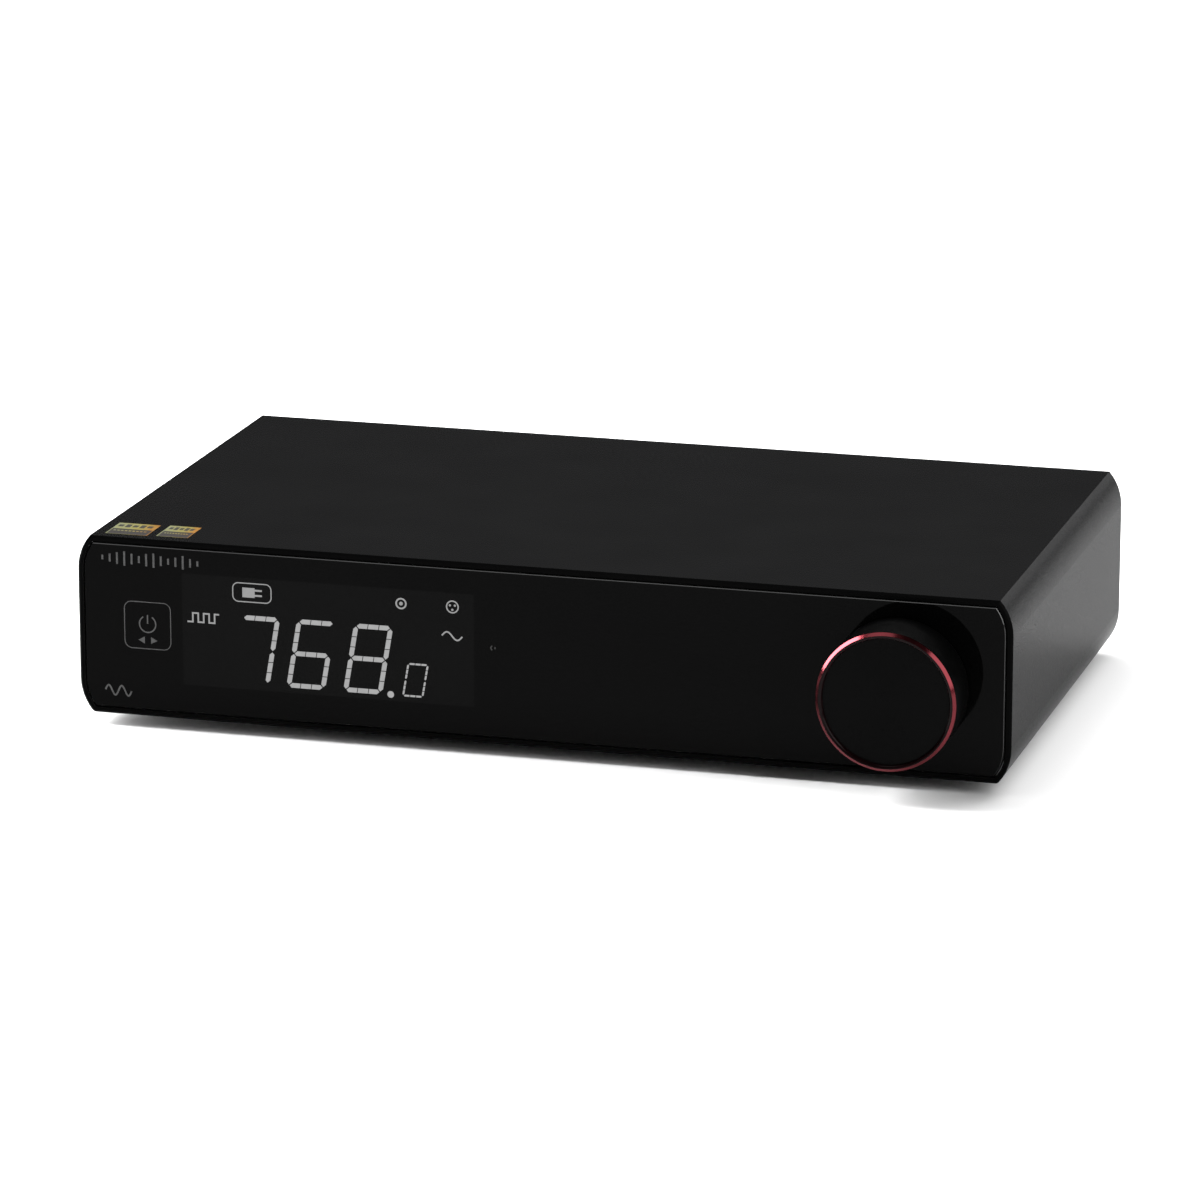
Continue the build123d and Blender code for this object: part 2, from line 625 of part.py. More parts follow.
def pin_places(x):
    """Three pins on one circle: two above, one below."""
    reach = 4.6
    return [(x - reach, MID_Z + 1.2), (x + reach, MID_Z + 1.2), (x, MID_Z - 3.6)]


def output_pins():
    shapes = []
    for x in OUTPUTS_X:
        for px, pz in pin_places(x):
            pin = rod_y(px, pz, OUTPUT_PIN_R, REAR_Y - OUTPUT_DEEP + 1, REAR_Y + OUTPUT_PIN_TIP)
            shapes.append(fillet(pin.edges().sort_by(Axis.Y)[-1], 0.6))
    return group(shapes)


# Phono sockets
def phono_barrels():
    """Each phono socket's outer contact, with a rounded mouth and a collar on the panel, and the
    small tube inside that takes the plug's pin."""
    barrels = [turned(x, REAR_Y, z, (3.3, -6), (PHONO_R - 0.1, -6), (PHONO_R - 0.1, 0.05), (5.4, 0.05),
                      (5.4, 1.0), (5.0, 1.4), (PHONO_R, 1.4), (PHONO_R, SOCKET_OUT - 0.9),
                      (PHONO_R - 0.3, SOCKET_OUT - 0.3), (3.3, SOCKET_OUT - 0.3))
               for x, z in phono_places()]
    tubes = [tube_y(x, z, 1.9, 1.6, REAR_Y - 6, REAR_Y + SOCKET_OUT - 1.5) for x, z in phono_places()]
    return group(barrels + tubes)


def phono_insulator(x, z):
    return tube_y(x, z, 3.25, 1.95, REAR_Y - 6, REAR_Y + SOCKET_OUT - 1.2)


def phono_bases():
    """Moulded blocks that stand the sockets on the main board."""
    y0 = REAR_Y - 14
    y1 = REAR_Y - 6.1
    pair = block(PHONO_PAIR_X - 5, PHONO_PAIR_X + 5, y0, y1, BOARD_TOP, PHONO_PAIR_Z[1] + 5)
    single = block(COAX_X - 5, COAX_X + 5, y0, y1, BOARD_TOP, COAX_Z + 5)
    for x, z in phono_places():
        nose = tube_y(x, z, 5.0, PHONO_R, y1 - 0.1, PANEL_IN_Y - 0.1)
        if x == COAX_X:
            single += nose
        else:
            pair += nose
    return group([pair, single])


# Trigger jacks
def trigger_jacks():
    """Two small jacks, one above the other, in one moulded block."""
    y0 = REAR_Y - 16
    jacks = block(TRIGGER_X - 3.9, TRIGGER_X + 3.9, y0, PANEL_IN_Y - 0.1, BOARD_TOP, TRIGGER_Z[1] + 4)
    for z in TRIGGER_Z:
        jacks += rod_y(TRIGGER_X, z, 3.0, PANEL_IN_Y - 1, REAR_Y + 0.8)
        jacks -= rod_y(TRIGGER_X, z, 1.8, REAR_Y - 14, REAR_Y + 2)
    return jacks


# Square digital socket
def digital_outline(grow):
    """Square outline with its two upper corners cut off."""
    half_w = DIGITAL_SIZE[0] / 2 + grow
    half_h = DIGITAL_SIZE[1] / 2 + grow
    cut = 2.0
    face = make_face(Polyline((-half_w, -half_h), (half_w, -half_h), (half_w, half_h - cut),
                              (half_w - cut, half_h), (cut - half_w, half_h), (-half_w, half_h - cut),
                              close=True))
    return Pos(DIGITAL_X, DIGITAL_Z) * face


def digital_socket_shell():
    wall = 0.7
    front = REAR_Y + 0.6
    shell = prism(digital_outline(0), REAR_Y - 15, front)
    return shell - prism(digital_outline(-wall), REAR_Y - 9.5, front + 1)


def digital_socket_tongue():
    return centred(DIGITAL_X, DIGITAL_Z, 5.6, 3.2, REAR_Y - 9.5, REAR_Y - 1)


# Optical socket with a spring flap
FLAP_HALF = 3.3
FLAP_T = 0.7
FLAP_BACK = 1.6  # flap's face, measured in from the rear panel's face
FLAP_PIVOT_Z = OPTICAL_Z + FLAP_HALF - 0.2
FLAP_PIVOT_Y = REAR_Y - FLAP_BACK - FLAP_T / 2
FLAP_PIN_R = 0.45
APERTURE = (7.0, 7.6)


def optical_socket():
    body = centred(OPTICAL_X, OPTICAL_Z, *OPTICAL_SIZE, REAR_Y - 13.5, REAR_Y + 0.5)
    body -= centred(OPTICAL_X, OPTICAL_Z, *APERTURE, REAR_Y - 10.5, REAR_Y + 1)
    pivot = FLAP_PIN_R + RUNNING
    reach = APERTURE[0] / 2 + 0.7
    body -= rod_x(FLAP_PIVOT_Y, FLAP_PIVOT_Z, pivot, OPTICAL_X - reach, OPTICAL_X + reach)
    return fillet(body.edges().filter_by(Axis.Y).group_by(Axis.Z)[-1], 0.8)


def optical_flap():
    """Shutter hung on a pin at its top edge; a plug pushes it in, and its spring shuts it."""
    low = OPTICAL_Z - APERTURE[1] / 2 + 0.3
    flap = block(OPTICAL_X - FLAP_HALF, OPTICAL_X + FLAP_HALF, FLAP_PIVOT_Y - FLAP_T / 2,
                 FLAP_PIVOT_Y + FLAP_T / 2, low, FLAP_PIVOT_Z)
    reach = APERTURE[0] / 2 + 0.6
    return flap + rod_x(FLAP_PIVOT_Y, FLAP_PIVOT_Z, FLAP_PIN_R, OPTICAL_X - reach, OPTICAL_X + reach)


# Aerial socket
def antenna_socket():
    """Threaded neck with a hexagon on the panel; the thread's turns are plain rings."""
    pitch = 0.7
    depth = 0.3
    start = 2.6
    points = [(1.9, -8.0), (THREAD_R, -8.0), (THREAD_R, start)]
    turns = int((SOCKET_OUT - start - 0.5) / pitch)
    for i in range(turns):
        y = start + i * pitch
        points += [(THREAD_R - depth, y + pitch / 2), (THREAD_R, y + pitch)]
    points += [(THREAD_R - depth, SOCKET_OUT), (1.9, SOCKET_OUT)]
    neck = turned(ANTENNA_X, REAR_Y, ANTENNA_Z, *points)
    nut = prism(Pos(ANTENNA_X, ANTENNA_Z) * RegularPolygon(4.6, 6), REAR_Y, REAR_Y + 1.9)
    return neck + (nut - rod_y(ANTENNA_X, ANTENNA_Z, THREAD_R - 0.2, REAR_Y - 1, REAR_Y + 3))


# Mains inlet
INLET_FLANGE_T = 1.2
INLET_DEEP = 15.0
INLET_RECESS = 12.5
INLET_MOUTH = (17.0, 9.4)
INLET_PIN_X = 4.3
INLET_PIN_R = 1.2


def figure_eight():
    """Outline of the inlet's mouth: two round lobes side by side with a slight waist."""
    waist = 0.8
    radius = INLET_MOUTH[1] / 2
    offset = INLET_MOUTH[0] / 2 - radius
    lobes = Pos(-offset, 0) * Circle(radius) + Pos(offset, 0) * Circle(radius)
    return Pos(INLET_X, INLET_Z) * (lobes + Rectangle(2 * offset, 2 * (radius - waist)))


def inlet_body():
    body = centred(INLET_X, INLET_Z, *INLET_CUT, REAR_Y - INLET_DEEP, REAR_Y + 0.2)
    flange = centred(INLET_X, INLET_Z, INLET_CUT[0] + 3, INLET_CUT[1] + 3, REAR_Y, REAR_Y + INLET_FLANGE_T)
    flange = fillet(flange.edges().filter_by(Axis.Y), 2.0)
    body += chamfer(flange.faces().sort_by(Axis.Y)[-1].outer_wire().edges(), 0.4)
    body -= prism(figure_eight(), REAR_Y - INLET_RECESS, REAR_Y + INLET_FLANGE_T + 1)
    for sign in (-1, 1):
        body -= rod_y(INLET_X + sign * INLET_PIN_X, INLET_Z, INLET_PIN_R + SCREW_CLEAR,
                      REAR_Y - INLET_DEEP - 1, REAR_Y - INLET_RECESS + 1)
    return body


def inlet_pins():
    shapes = []
    for sign in (-1, 1):
        pin = rod_y(INLET_X + sign * INLET_PIN_X, INLET_Z, INLET_PIN_R, REAR_Y - INLET_DEEP - 3, REAR_Y - 4.5)
        shapes.append(fillet(pin.edges().sort_by(Axis.Y)[-1], 0.7))
    return group(shapes)


# Rocker power switch
ROCKER_FLANGE_T = 1.3
ROCKER_DEEP = 12.0
ROCKER_OPEN = (12.0, 18.2)
LEVER_W = 11.3
LEVER_HALF = 8.2
PIVOT_IN = 1.6  # pivot pin, measured in from the rear panel's face
PIVOT_R = 1.2
ROCKER_TILT = 8.0  # degrees either side of level


def rocker_housing():
    body = centred(ROCKER_X, ROCKER_Z, *ROCKER_CUT, REAR_Y - ROCKER_DEEP, REAR_Y + 0.2)
    flange = centred(ROCKER_X, ROCKER_Z, ROCKER_CUT[0] + 1.6, ROCKER_CUT[1] + 2.2,
                     REAR_Y, REAR_Y + ROCKER_FLANGE_T)
    flange = fillet(flange.edges().filter_by(Axis.Y), 1.0)
    body += chamfer(flange.faces().sort_by(Axis.Y)[-1].outer_wire().edges(), 0.4)
    body -= centred(ROCKER_X, ROCKER_Z, *ROCKER_OPEN,
                    REAR_Y - ROCKER_DEEP + 1.5, REAR_Y + ROCKER_FLANGE_T + 1)
    reach = LEVER_W / 2 + 1.0
    return body - rod_x(REAR_Y - PIVOT_IN, ROCKER_Z, PIVOT_R + RUNNING, ROCKER_X - reach, ROCKER_X + reach)


def rocker_lever():
    """Lever with a shallow V face, stored tipped to its off side, and its two pivot stubs."""
    profile = make_face(Polyline((-4.0, -3.2), (-4.0, 3.2), (-1.6, LEVER_HALF), (3.9, LEVER_HALF),
                                 (2.6, 0), (3.9, -LEVER_HALF), (-1.6, -LEVER_HALF), close=True))
    bar = Pos(-LEVER_W / 2, 0, 0) * extrude(Plane.YZ * profile, LEVER_W)
    bar = fillet(bar.edges().filter_by(Axis.X).group_by(Axis.Y)[-1], 0.5)
    reach = LEVER_W / 2 + 0.9
    bar += rod_x(0, 0, PIVOT_R, -reach, reach)
    return Pos(ROCKER_X, REAR_Y - PIVOT_IN, ROCKER_Z) * Rot(-ROCKER_TILT, 0, 0) * bar


# Feet
FOOT_R = 8.0
FOOT_PLACES = [(x, y) for x in (-78.0, 78.0) for y in (FRONT_Y + 22.0, REAR_Y - 22.0)]
FOOT_HEAD_T = 1.2
FOOT_HEAD_Z = FOOT_H - 0.7
FOOT_WELL_R = 3.0
FOOT_BEVEL = 0.6


def rubber_feet():
    """Four round feet, bevelled at the floor, each with a well for its screw."""
    shapes = []
    for x, y in FOOT_PLACES:
        foot = rod_z(x, y, FOOT_R, 0, FOOT_H)
        foot = chamfer(foot.edges().sort_by(Axis.Z)[0], FOOT_BEVEL)
        foot -= rod_z(x, y, FOOT_WELL_R, -1, FOOT_HEAD_Z)
        foot -= rod_z(x, y, SCREW_R + SCREW_CLEAR, 0, FOOT_H + 1)
        shapes.append(foot)
    return group(shapes)


def foot_screws():
    """Screws up through the feet; each head sits in its well, clear of the floor."""
    return group(rod_z(x, y, FOOT_WELL_R - 0.3, FOOT_HEAD_Z - FOOT_HEAD_T, FOOT_HEAD_Z)
                 + rod_z(x, y, SCREW_R, FOOT_HEAD_Z, FLOOR_Z) for x, y in FOOT_PLACES)


def all_nodes():
    core, winding = power_transformer()
    return {
        "case_sleeve": case_sleeve(),
        "front_glass": front_glass(),
        "glass_adhesive": glass_adhesive(),
        "front_subframe": front_subframe(),
        "front_screws": front_screws(),
        "display_panel": display_panel(),
        "display_housing": display_housing(),
        "touch_pad": touch_pad(),
        "touch_foam": touch_foam(),
        "infrared_receiver": infrared_receiver(),
        "front_board": front_board(),
        "encoder_housing": encoder_housing(),
        "encoder_bush": encoder_bush(),
        "encoder_nut": encoder_nut(),
        "push_dome": push_dome(),
        "push_plunger": push_plunger(),
        "encoder_shaft": encoder_shaft(),
        "knob_shell": knob_shell(),
        "knob_ring": knob_ring(),
        "knob_face": knob_face(),
        "knob_grub_screw": knob_grub_screw(),
        "main_board": main_board(),
        "power_board": board(POWER_X),
        "board_standoffs": board_standoffs(),
        "board_screws": board_screws(),
        "insulation_sheet": insulation_sheet(),
        "board_connectors": board_connectors(),
        "converter_chips": converter_chips(),
        "support_chips": support_chips(),
        "clock_crystals": clock_crystals(),
        "output_relays": output_relays(),
        "capacitors": capacitors(),
        "shield_can": shield_can(),
        "transformer_core": core,
        "transformer_winding": winding,
        "filter_choke": filter_choke(),
        "heat_sink": heat_sink(),
        "mains_fuse": mains_fuse(),
        "rear_panel": rear_panel(),
        "rear_panel_screws": rear_panel_screws(),
        "output_housings": output_housings(),
        "output_inserts": output_inserts(),
        "output_pins": output_pins(),
        "phono_barrels": phono_barrels(),
        "phono_insulator_left": phono_insulator(PHONO_PAIR_X, PHONO_PAIR_Z[1]),
        "phono_insulator_right": phono_insulator(PHONO_PAIR_X, PHONO_PAIR_Z[0]),
        "phono_insulator_digital": phono_insulator(COAX_X, COAX_Z),
        "phono_bases": phono_bases(),
        "trigger_jacks": trigger_jacks(),
        "digital_socket_shell": digital_socket_shell(),
        "digital_socket_tongue": digital_socket_tongue(),
        "optical_socket": optical_socket(),
        "optical_flap": optical_flap(),
        "antenna_socket": antenna_socket(),
        "inlet_body": inlet_body(),
        "inlet_pins": inlet_pins(),
        "rocker_housing": rocker_housing(),
        "rocker_lever": rocker_lever(),
        "rubber_feet": rubber_feet(),
        "foot_screws": foot_screws(),
    }


if __name__ == "__main__":
    os.makedirs("parts", exist_ok=True)
    nodes = all_nodes()
    for name, shape in nodes.items():
        export_step(shape, f"parts/{name}.step")
    print(len(nodes), "nodes")
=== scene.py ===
# %% [markdown]
# # A desktop converter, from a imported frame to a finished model
# The object is a wide, low audio converter: a black metal sleeve, a black glass front with lit
# figures, a push-and-turn knob with a red ring, and a row of sockets at the back. Its sizes, its
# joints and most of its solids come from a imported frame. This lesson gives those solids their
# finishes, and builds in mesh code what the frame has no room for: the lit figures, the printed
# marks, the two gold labels and the finest turned shapes.

# %% Load the frame
import json
import math

import bmesh
import bpy
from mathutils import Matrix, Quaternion, Vector


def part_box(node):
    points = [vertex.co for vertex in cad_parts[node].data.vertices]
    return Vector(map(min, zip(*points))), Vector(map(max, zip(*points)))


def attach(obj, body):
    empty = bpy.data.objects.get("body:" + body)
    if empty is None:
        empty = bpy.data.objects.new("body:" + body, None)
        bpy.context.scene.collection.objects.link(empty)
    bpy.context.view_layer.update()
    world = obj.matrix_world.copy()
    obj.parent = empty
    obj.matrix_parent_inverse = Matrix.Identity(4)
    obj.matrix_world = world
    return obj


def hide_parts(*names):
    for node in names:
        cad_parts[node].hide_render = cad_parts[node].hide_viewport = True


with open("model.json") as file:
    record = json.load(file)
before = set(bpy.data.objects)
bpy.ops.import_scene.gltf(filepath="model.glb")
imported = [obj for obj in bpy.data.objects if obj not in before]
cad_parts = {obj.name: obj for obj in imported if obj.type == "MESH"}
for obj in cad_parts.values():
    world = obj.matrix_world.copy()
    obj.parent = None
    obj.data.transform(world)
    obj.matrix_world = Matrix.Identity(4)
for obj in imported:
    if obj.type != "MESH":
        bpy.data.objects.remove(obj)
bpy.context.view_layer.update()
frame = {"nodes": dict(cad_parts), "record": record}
print("nodes:", len(frame["nodes"]))

# %% [markdown]
# ## Places to measure from
# Everything is in metres, in the frame's own axes: X to the right, Y to the back, Z up. Sizes read
# better in millimetres, so `mm` turns them into metres. Marks on the front are placed from the middle
# of the sleeve and from its underside, the way a maker's drawing would give them.

# %% Places taken from the frame


def mm(value):
    return value * 0.001


sleeve_low, sleeve_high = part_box("case_sleeve")
glass_low, glass_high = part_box("front_glass")
knob_low, knob_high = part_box("knob_shell")
ring_low, ring_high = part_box("knob_ring")
FRONT = glass_low.y
BACK = sleeve_high.y
TOP = sleeve_high.z
UNDER = sleeve_low.z
KNOB = Vector(((knob_low.x + knob_high.x) / 2, ring_low.y, (knob_low.z + knob_high.z) / 2))
KNOB_RADIUS = (knob_high.x - knob_low.x) / 2
print("sleeve, mm:", [round(v * 1000, 2) for v in sleeve_high - sleeve_low])
print("knob radius, mm:", round(KNOB_RADIUS * 1000, 2))

# %% [markdown]
# ## A short way to write a finish
# Each finish is one Principled shader with a few textures behind it. A helper starts the material
# and sets the sockets that are the same all over; three more add a noise, spread it over a range,
# and turn it into bumps. All textures read object coordinates, so the grain has a real size and
# needs no unwrapping.

# %% Helpers for finishes


def finish(name, colour, roughness, metallic=0.0, specular=0.5):
    """A new material whose Principled shader has these plain values."""
    material = bpy.data.materials.new(name)
    material.use_nodes = True
    tree = material.node_tree
    shader = tree.nodes["Principled BSDF"]
    shader.inputs["Base Color"].default_value = (*colour, 1)
    shader.inputs["Roughness"].default_value = roughness
    shader.inputs["Metallic"].default_value = metallic
    shader.inputs["Specular IOR Level"].default_value = specular
    return material, tree, shader


def noise(tree, size, detail=2.0, stretch=(1, 1, 1)):
    """Noise whose blotches are about `size` metres across, longer where stretch is below 1."""
    place = tree.nodes.new("ShaderNodeTexCoord")
    mapping = tree.nodes.new("ShaderNodeMapping")
    mapping.inputs["Scale"].default_value = stretch
    texture = tree.nodes.new("ShaderNodeTexNoise")
    texture.inputs["Scale"].default_value = 1 / size
    texture.inputs["Detail"].default_value = detail
    tree.links.new(place.outputs["Object"], mapping.inputs["Vector"])
    tree.links.new(mapping.outputs["Vector"], texture.inputs["Vector"])
    return texture.outputs["Fac"]


def spread(tree, value, low, high):
    """A value from 0.3 to 0.7, where noise mostly lies, spread from low to high."""
    node = tree.nodes.new("ShaderNodeMapRange")
    node.inputs["From Min"].default_value = 0.3
    node.inputs["From Max"].default_value = 0.7
    node.inputs["To Min"].default_value = low
    node.inputs["To Max"].default_value = high
    tree.links.new(value, node.inputs["Value"])
    return node.outputs["Result"]


def tint(tree, value, dark, light):
    """A colour between dark and light, by value."""
    ramp = tree.nodes.new("ShaderNodeValToRGB")
    ramp.color_ramp.elements[0].position = 0.3
    ramp.color_ramp.elements[0].color = (*dark, 1)
    ramp.color_ramp.elements[1].position = 0.7
    ramp.color_ramp.elements[1].color = (*light, 1)
    tree.links.new(value, ramp.inputs["Fac"])
    return ramp.outputs["Color"]


def bumps(tree, shader, height, depth):
    """Turns a height from 0 to 1 into bumps `depth` metres deep on the shader."""
    node = tree.nodes.new("ShaderNodeBump")
    node.inputs["Distance"].default_value = depth
    node.inputs["Strength"].default_value = 1.0
    tree.links.new(height, node.inputs["Height"])
    tree.links.new(node.outputs["Normal"], shader.inputs["Normal"])


def shade(colour, factor):
    """The colour, darker or lighter by this factor."""
    return tuple(min(1.0, c * factor) for c in colour)


print("finish helpers: finish, noise, spread, tint, bumps, shade")


# %% [markdown]
# ## The sleeve: bead-blasted, black anodised aluminium
# Blasting leaves pits about a fifth of a millimetre across, and the dye sits over them a little
# unevenly. A flat black would look like card, so fine noise gives the pits, a second noise changes
# the gloss between them, and a broad faint one makes the dye cloudy.

# %% Blasted black


def blasted_black(name, colour, roughness, pit=mm(0.22), depth=mm(0.02), specular=0.5):
    material, tree, shader = finish(name, colour, roughness, specular=specular)
    cloud = noise(tree, mm(22), detail=3)
    fine = noise(tree, pit, detail=4)
    tree.links.new(tint(tree, cloud, shade(colour, 0.94), shade(colour, 1.07)), shader.inputs["Base Color"])
    tree.links.new(spread(tree, fine, roughness - 0.07, roughness + 0.07), shader.inputs["Roughness"])
    bumps(tree, shader, fine, depth)
    return material


sleeve_black = blasted_black("sleeve_black", (0.0106, 0.0106, 0.0108), 0.27, depth=mm(0.008),
                             specular=0.006)
# A near-black copy of the finish for the sleeve's ends: painted shade, for the dark band the ends show
# between the top and the glass.
painted_shade_black = blasted_black("painted_shade_black", (0.0008, 0.0008, 0.0008), 0.3, depth=mm(0.004), specular=0.012)
print("blasted finishes:", sleeve_black.name, painted_shade_black.name)

# %% [markdown]
# ## The front glass
# It is painted black on its back and polished on its face, so it mirrors the knob. The face is
# coated to mirror only faintly, and the ground bevel round it, which isn't coated, catches the lamps
# as a thin line. That is why the glass has two finishes. Very faint smears change the gloss.

# %% Glass and its bevel


def polished(name, colour, roughness, specular):
    material, tree, shader = finish(name, colour, roughness, specular=specular)
    smear = 0.02
    film = noise(tree, mm(35), detail=5, stretch=(1, 1, 2.5))
    tree.links.new(spread(tree, film, roughness, roughness + smear), shader.inputs["Roughness"])
    tree.links.new(tint(tree, film, shade(colour, 0.9), shade(colour, 1.1)), shader.inputs["Base Color"])
    return material


glass_face = polished("glass_face", (0.001, 0.001, 0.001), 0.02, 0.024)
glass_bevel = polished("glass_bevel", (0.004, 0.004, 0.004), 0.12, 0.5)
display_window = polished("display_window", (0.0024, 0.0024, 0.0024), 0.03, 0.027)
print("polished finishes:", glass_face.name, glass_bevel.name, display_window.name)

# %% [markdown]
# ## Turned metal
# A lathe leaves fine rings round its axis. They come from the distance to the axis, read as a wave,
# so they follow the shape wherever it is. The same recipe serves the black cup and face and the
# bright red ring; only the colour, the gloss and the depth of the rings change.

# %% Turned metal


def turned_metal(name, colour, roughness, metallic, centre, ring=mm(0.12), depth=mm(0.003), specular=0.5):
    """Metal turned on an axis along Y through centre."""
    material, tree, shader = finish(name, colour, roughness, metallic, specular)
    place = tree.nodes.new("ShaderNodeTexCoord")
    to_axis = tree.nodes.new("ShaderNodeVectorMath")
    to_axis.operation = "SUBTRACT"
    to_axis.inputs[1].default_value = centre
    flat = tree.nodes.new("ShaderNodeVectorMath")
    flat.operation = "MULTIPLY"
    flat.inputs[1].default_value = (1, 0, 1)
    length = tree.nodes.new("ShaderNodeVectorMath")
    length.operation = "LENGTH"
    turns = tree.nodes.new("ShaderNodeMath")
    turns.operation = "MULTIPLY"
    turns.inputs[1].default_value = 2 * math.pi / ring
    wave = tree.nodes.new("ShaderNodeMath")
    wave.operation = "SINE"
    tree.links.new(place.outputs["Object"], to_axis.inputs[0])
    tree.links.new(to_axis.outputs["Vector"], flat.inputs[0])
    tree.links.new(flat.outputs["Vector"], length.inputs[0])
    tree.links.new(length.outputs["Value"], turns.inputs[0])
    tree.links.new(turns.outputs["Value"], wave.inputs[0])
    cloud = noise(tree, mm(3), detail=4)
    tree.links.new(spread(tree, cloud, roughness - 0.04, roughness + 0.04), shader.inputs["Roughness"])
    tree.links.new(tint(tree, cloud, shade(colour, 0.9), shade(colour, 1.12)), shader.inputs["Base Color"])
    bumps(tree, shader, wave.outputs["Value"], depth)
    return material


knob_black = turned_metal("knob_black", (0.001, 0.001, 0.001), 0.42, 0.0, KNOB, specular=0.03)
knob_face_black = turned_metal("knob_face_black", (0.0012, 0.0012, 0.0012), 0.3, 0.0, KNOB, specular=0.022)
knob_rim_black = turned_metal("knob_rim_black", (0.004, 0.0012, 0.0014), 0.14, 0.0, KNOB,
                              depth=mm(0.0002), specular=0.05)
knob_red = turned_metal("knob_red", (0.09, 0.012, 0.016), 0.17, 1.0, KNOB, ring=mm(0.2), depth=mm(0.0002))
red_shader = knob_red.node_tree.nodes["Principled BSDF"]
red_shader.inputs["Coat Weight"].default_value = 0.12
red_shader.inputs["Coat Roughness"].default_value = 0.12
red_shader.inputs["Specular Tint"].default_value = (0.9, 0.6, 0.62, 1)
print("turned finishes:", knob_black.name, knob_face_black.name, knob_rim_black.name, knob_red.name)

# %% [markdown]
# ## The rest of the finishes
# The parts behind the sleeve and on the rear panel come in a few families: moulded plastic, plated
# metal, painted metal, rubber, boards and wound parts. Each family is one function, and the record's
# material slots say which node takes which.

# %% Moulded plastic, rubber and board


def moulded(name, colour, roughness, grain=mm(0.35), depth=mm(0.012)):
    material, tree, shader = finish(name, colour, roughness)
    fine = noise(tree, grain, detail=3)
    cloud = noise(tree, mm(9), detail=2)
    tree.links.new(tint(tree, cloud, shade(colour, 0.88), shade(colour, 1.12)), shader.inputs["Base Color"])
    tree.links.new(spread(tree, fine, roughness - 0.08, roughness + 0.08), shader.inputs["Roughness"])
    bumps(tree, shader, fine, depth)
    return material


def plated(name, colour, roughness):
    material, tree, shader = finish(name, colour, roughness, metallic=1.0)
    fine = noise(tree, mm(0.25), detail=3, stretch=(1, 0.2, 1))
    cloud = noise(tree, mm(4), detail=3)
    tree.links.new(tint(tree, cloud, shade(colour, 0.86), shade(colour, 1.08)), shader.inputs["Base Color"])
    tree.links.new(spread(tree, fine, roughness - 0.06, roughness + 0.08), shader.inputs["Roughness"])
    bumps(tree, shader, fine, mm(0.002))
    return material


# %% [markdown]
# ## Which node takes which finish
# The record gives every node a material slot, so one table from slot to finish dresses the whole
# frame in a single loop. Only materials are assigned; the meshes stay as they came.

# %% Finishes by slot
finishes = {
    "black_sleeve": sleeve_black,
    "smoked_glass": glass_face,
    "black_tape": moulded("tape_black", (0.012, 0.012, 0.012), 0.8),
    "front_frame": plated("milled_frame", (0.3, 0.3, 0.31), 0.4),
    "black_screws": plated("screw_black", (0.05, 0.05, 0.052), 0.38),
    "display_face": polished("display_module", (0.01, 0.01, 0.01), 0.15, 0.5),
    "black_moulding": moulded("socket_black", (0.014, 0.014, 0.015), 0.45),
    "rocker_black": moulded("rocker_black", (0.016, 0.016, 0.017), 0.35),
    "copper_pad": plated("pad_copper", (0.7, 0.42, 0.26), 0.35),
    "smoked_lens": polished("eye_lens", (0.02, 0.006, 0.01), 0.1, 0.5),
    "board_laminate": moulded("board_green", (0.012, 0.05, 0.032), 0.35),
    "plated_steel": plated("plated_steel", (0.62, 0.61, 0.58), 0.28),
    "plunger_plastic": moulded("plunger_white", (0.7, 0.69, 0.66), 0.4),
    "knob_black": knob_black,
    "knob_face_black": knob_face_black,
    "knob_red": knob_red,
    "connector_body": moulded("connector_cream", (0.62, 0.58, 0.46), 0.5),
    "chip_black": moulded("chip_black", (0.018, 0.018, 0.018), 0.6),
    "relay_case": moulded("relay_grey", (0.6, 0.62, 0.65), 0.3),
    "capacitor_sleeve": moulded("can_sleeve", (0.02, 0.025, 0.06), 0.25),
    "ferrite": moulded("ferrite_grey", (0.05, 0.05, 0.05), 0.55),
    "winding_tape": moulded("winding_yellow", (0.62, 0.42, 0.06), 0.4),
    "heat_sink_black": blasted_black("sink_black", (0.02, 0.02, 0.02), 0.5),
    "fuse_ceramic": moulded("fuse_white", (0.68, 0.66, 0.6), 0.4),
    "rear_panel_black": blasted_black("panel_black", (0.009, 0.009, 0.0094), 0.45, specular=0.15),
    "output_metal": blasted_black("output_black", (0.013, 0.013, 0.014), 0.34, pit=mm(0.3), specular=0.3),
    "gold_plate": plated("gold_plate", (0.83, 0.56, 0.2), 0.2),
    "nickel_pins": plated("nickel_plate", (0.7, 0.68, 0.64), 0.2),
    "insulator_white": moulded("insulator_white", (0.72, 0.71, 0.68), 0.4),
    "insulator_red": moulded("insulator_red", (0.42, 0.02, 0.02), 0.4),
    "foot_rubber": moulded("foot_rubber", (0.016, 0.016, 0.016), 0.75, grain=mm(0.5), depth=mm(0.03)),
}
for row in frame["record"]["subparts"]:
    mesh = frame["nodes"][row["node"]].data
    mesh.materials.clear()
    mesh.materials.append(finishes[row["material_slot"]])

# %% [markdown]
# ## Two finishes on one node
# The sleeve's ends get a second, near-black finish, which is painted shade: they are the same black metal
# as the rest, and look darker only because of the way light falls on them. The glass's rim is ground after
# its face is coated, so it has a second finish too. Those faces are found by the way they point and by
# where they lie, which holds even if the frame comes again with finer meshes.

# %% Shaded ends and ground rim
END_DEPTH = mm(0.6)
RIM_DEPTH = mm(1)


def second_finish(node, material, wanted):
    """Gives the faces of a frame node that `wanted` picks a second finish. The mesh stays as it is."""
    mesh = frame["nodes"][node].data
    mesh.materials.append(material)
    picked = [face for face in mesh.polygons if wanted(face)]
    for face in picked:
        face.material_index = 1
    print(node, "faces in", material.name + ":", len(picked), "of", len(mesh.polygons))


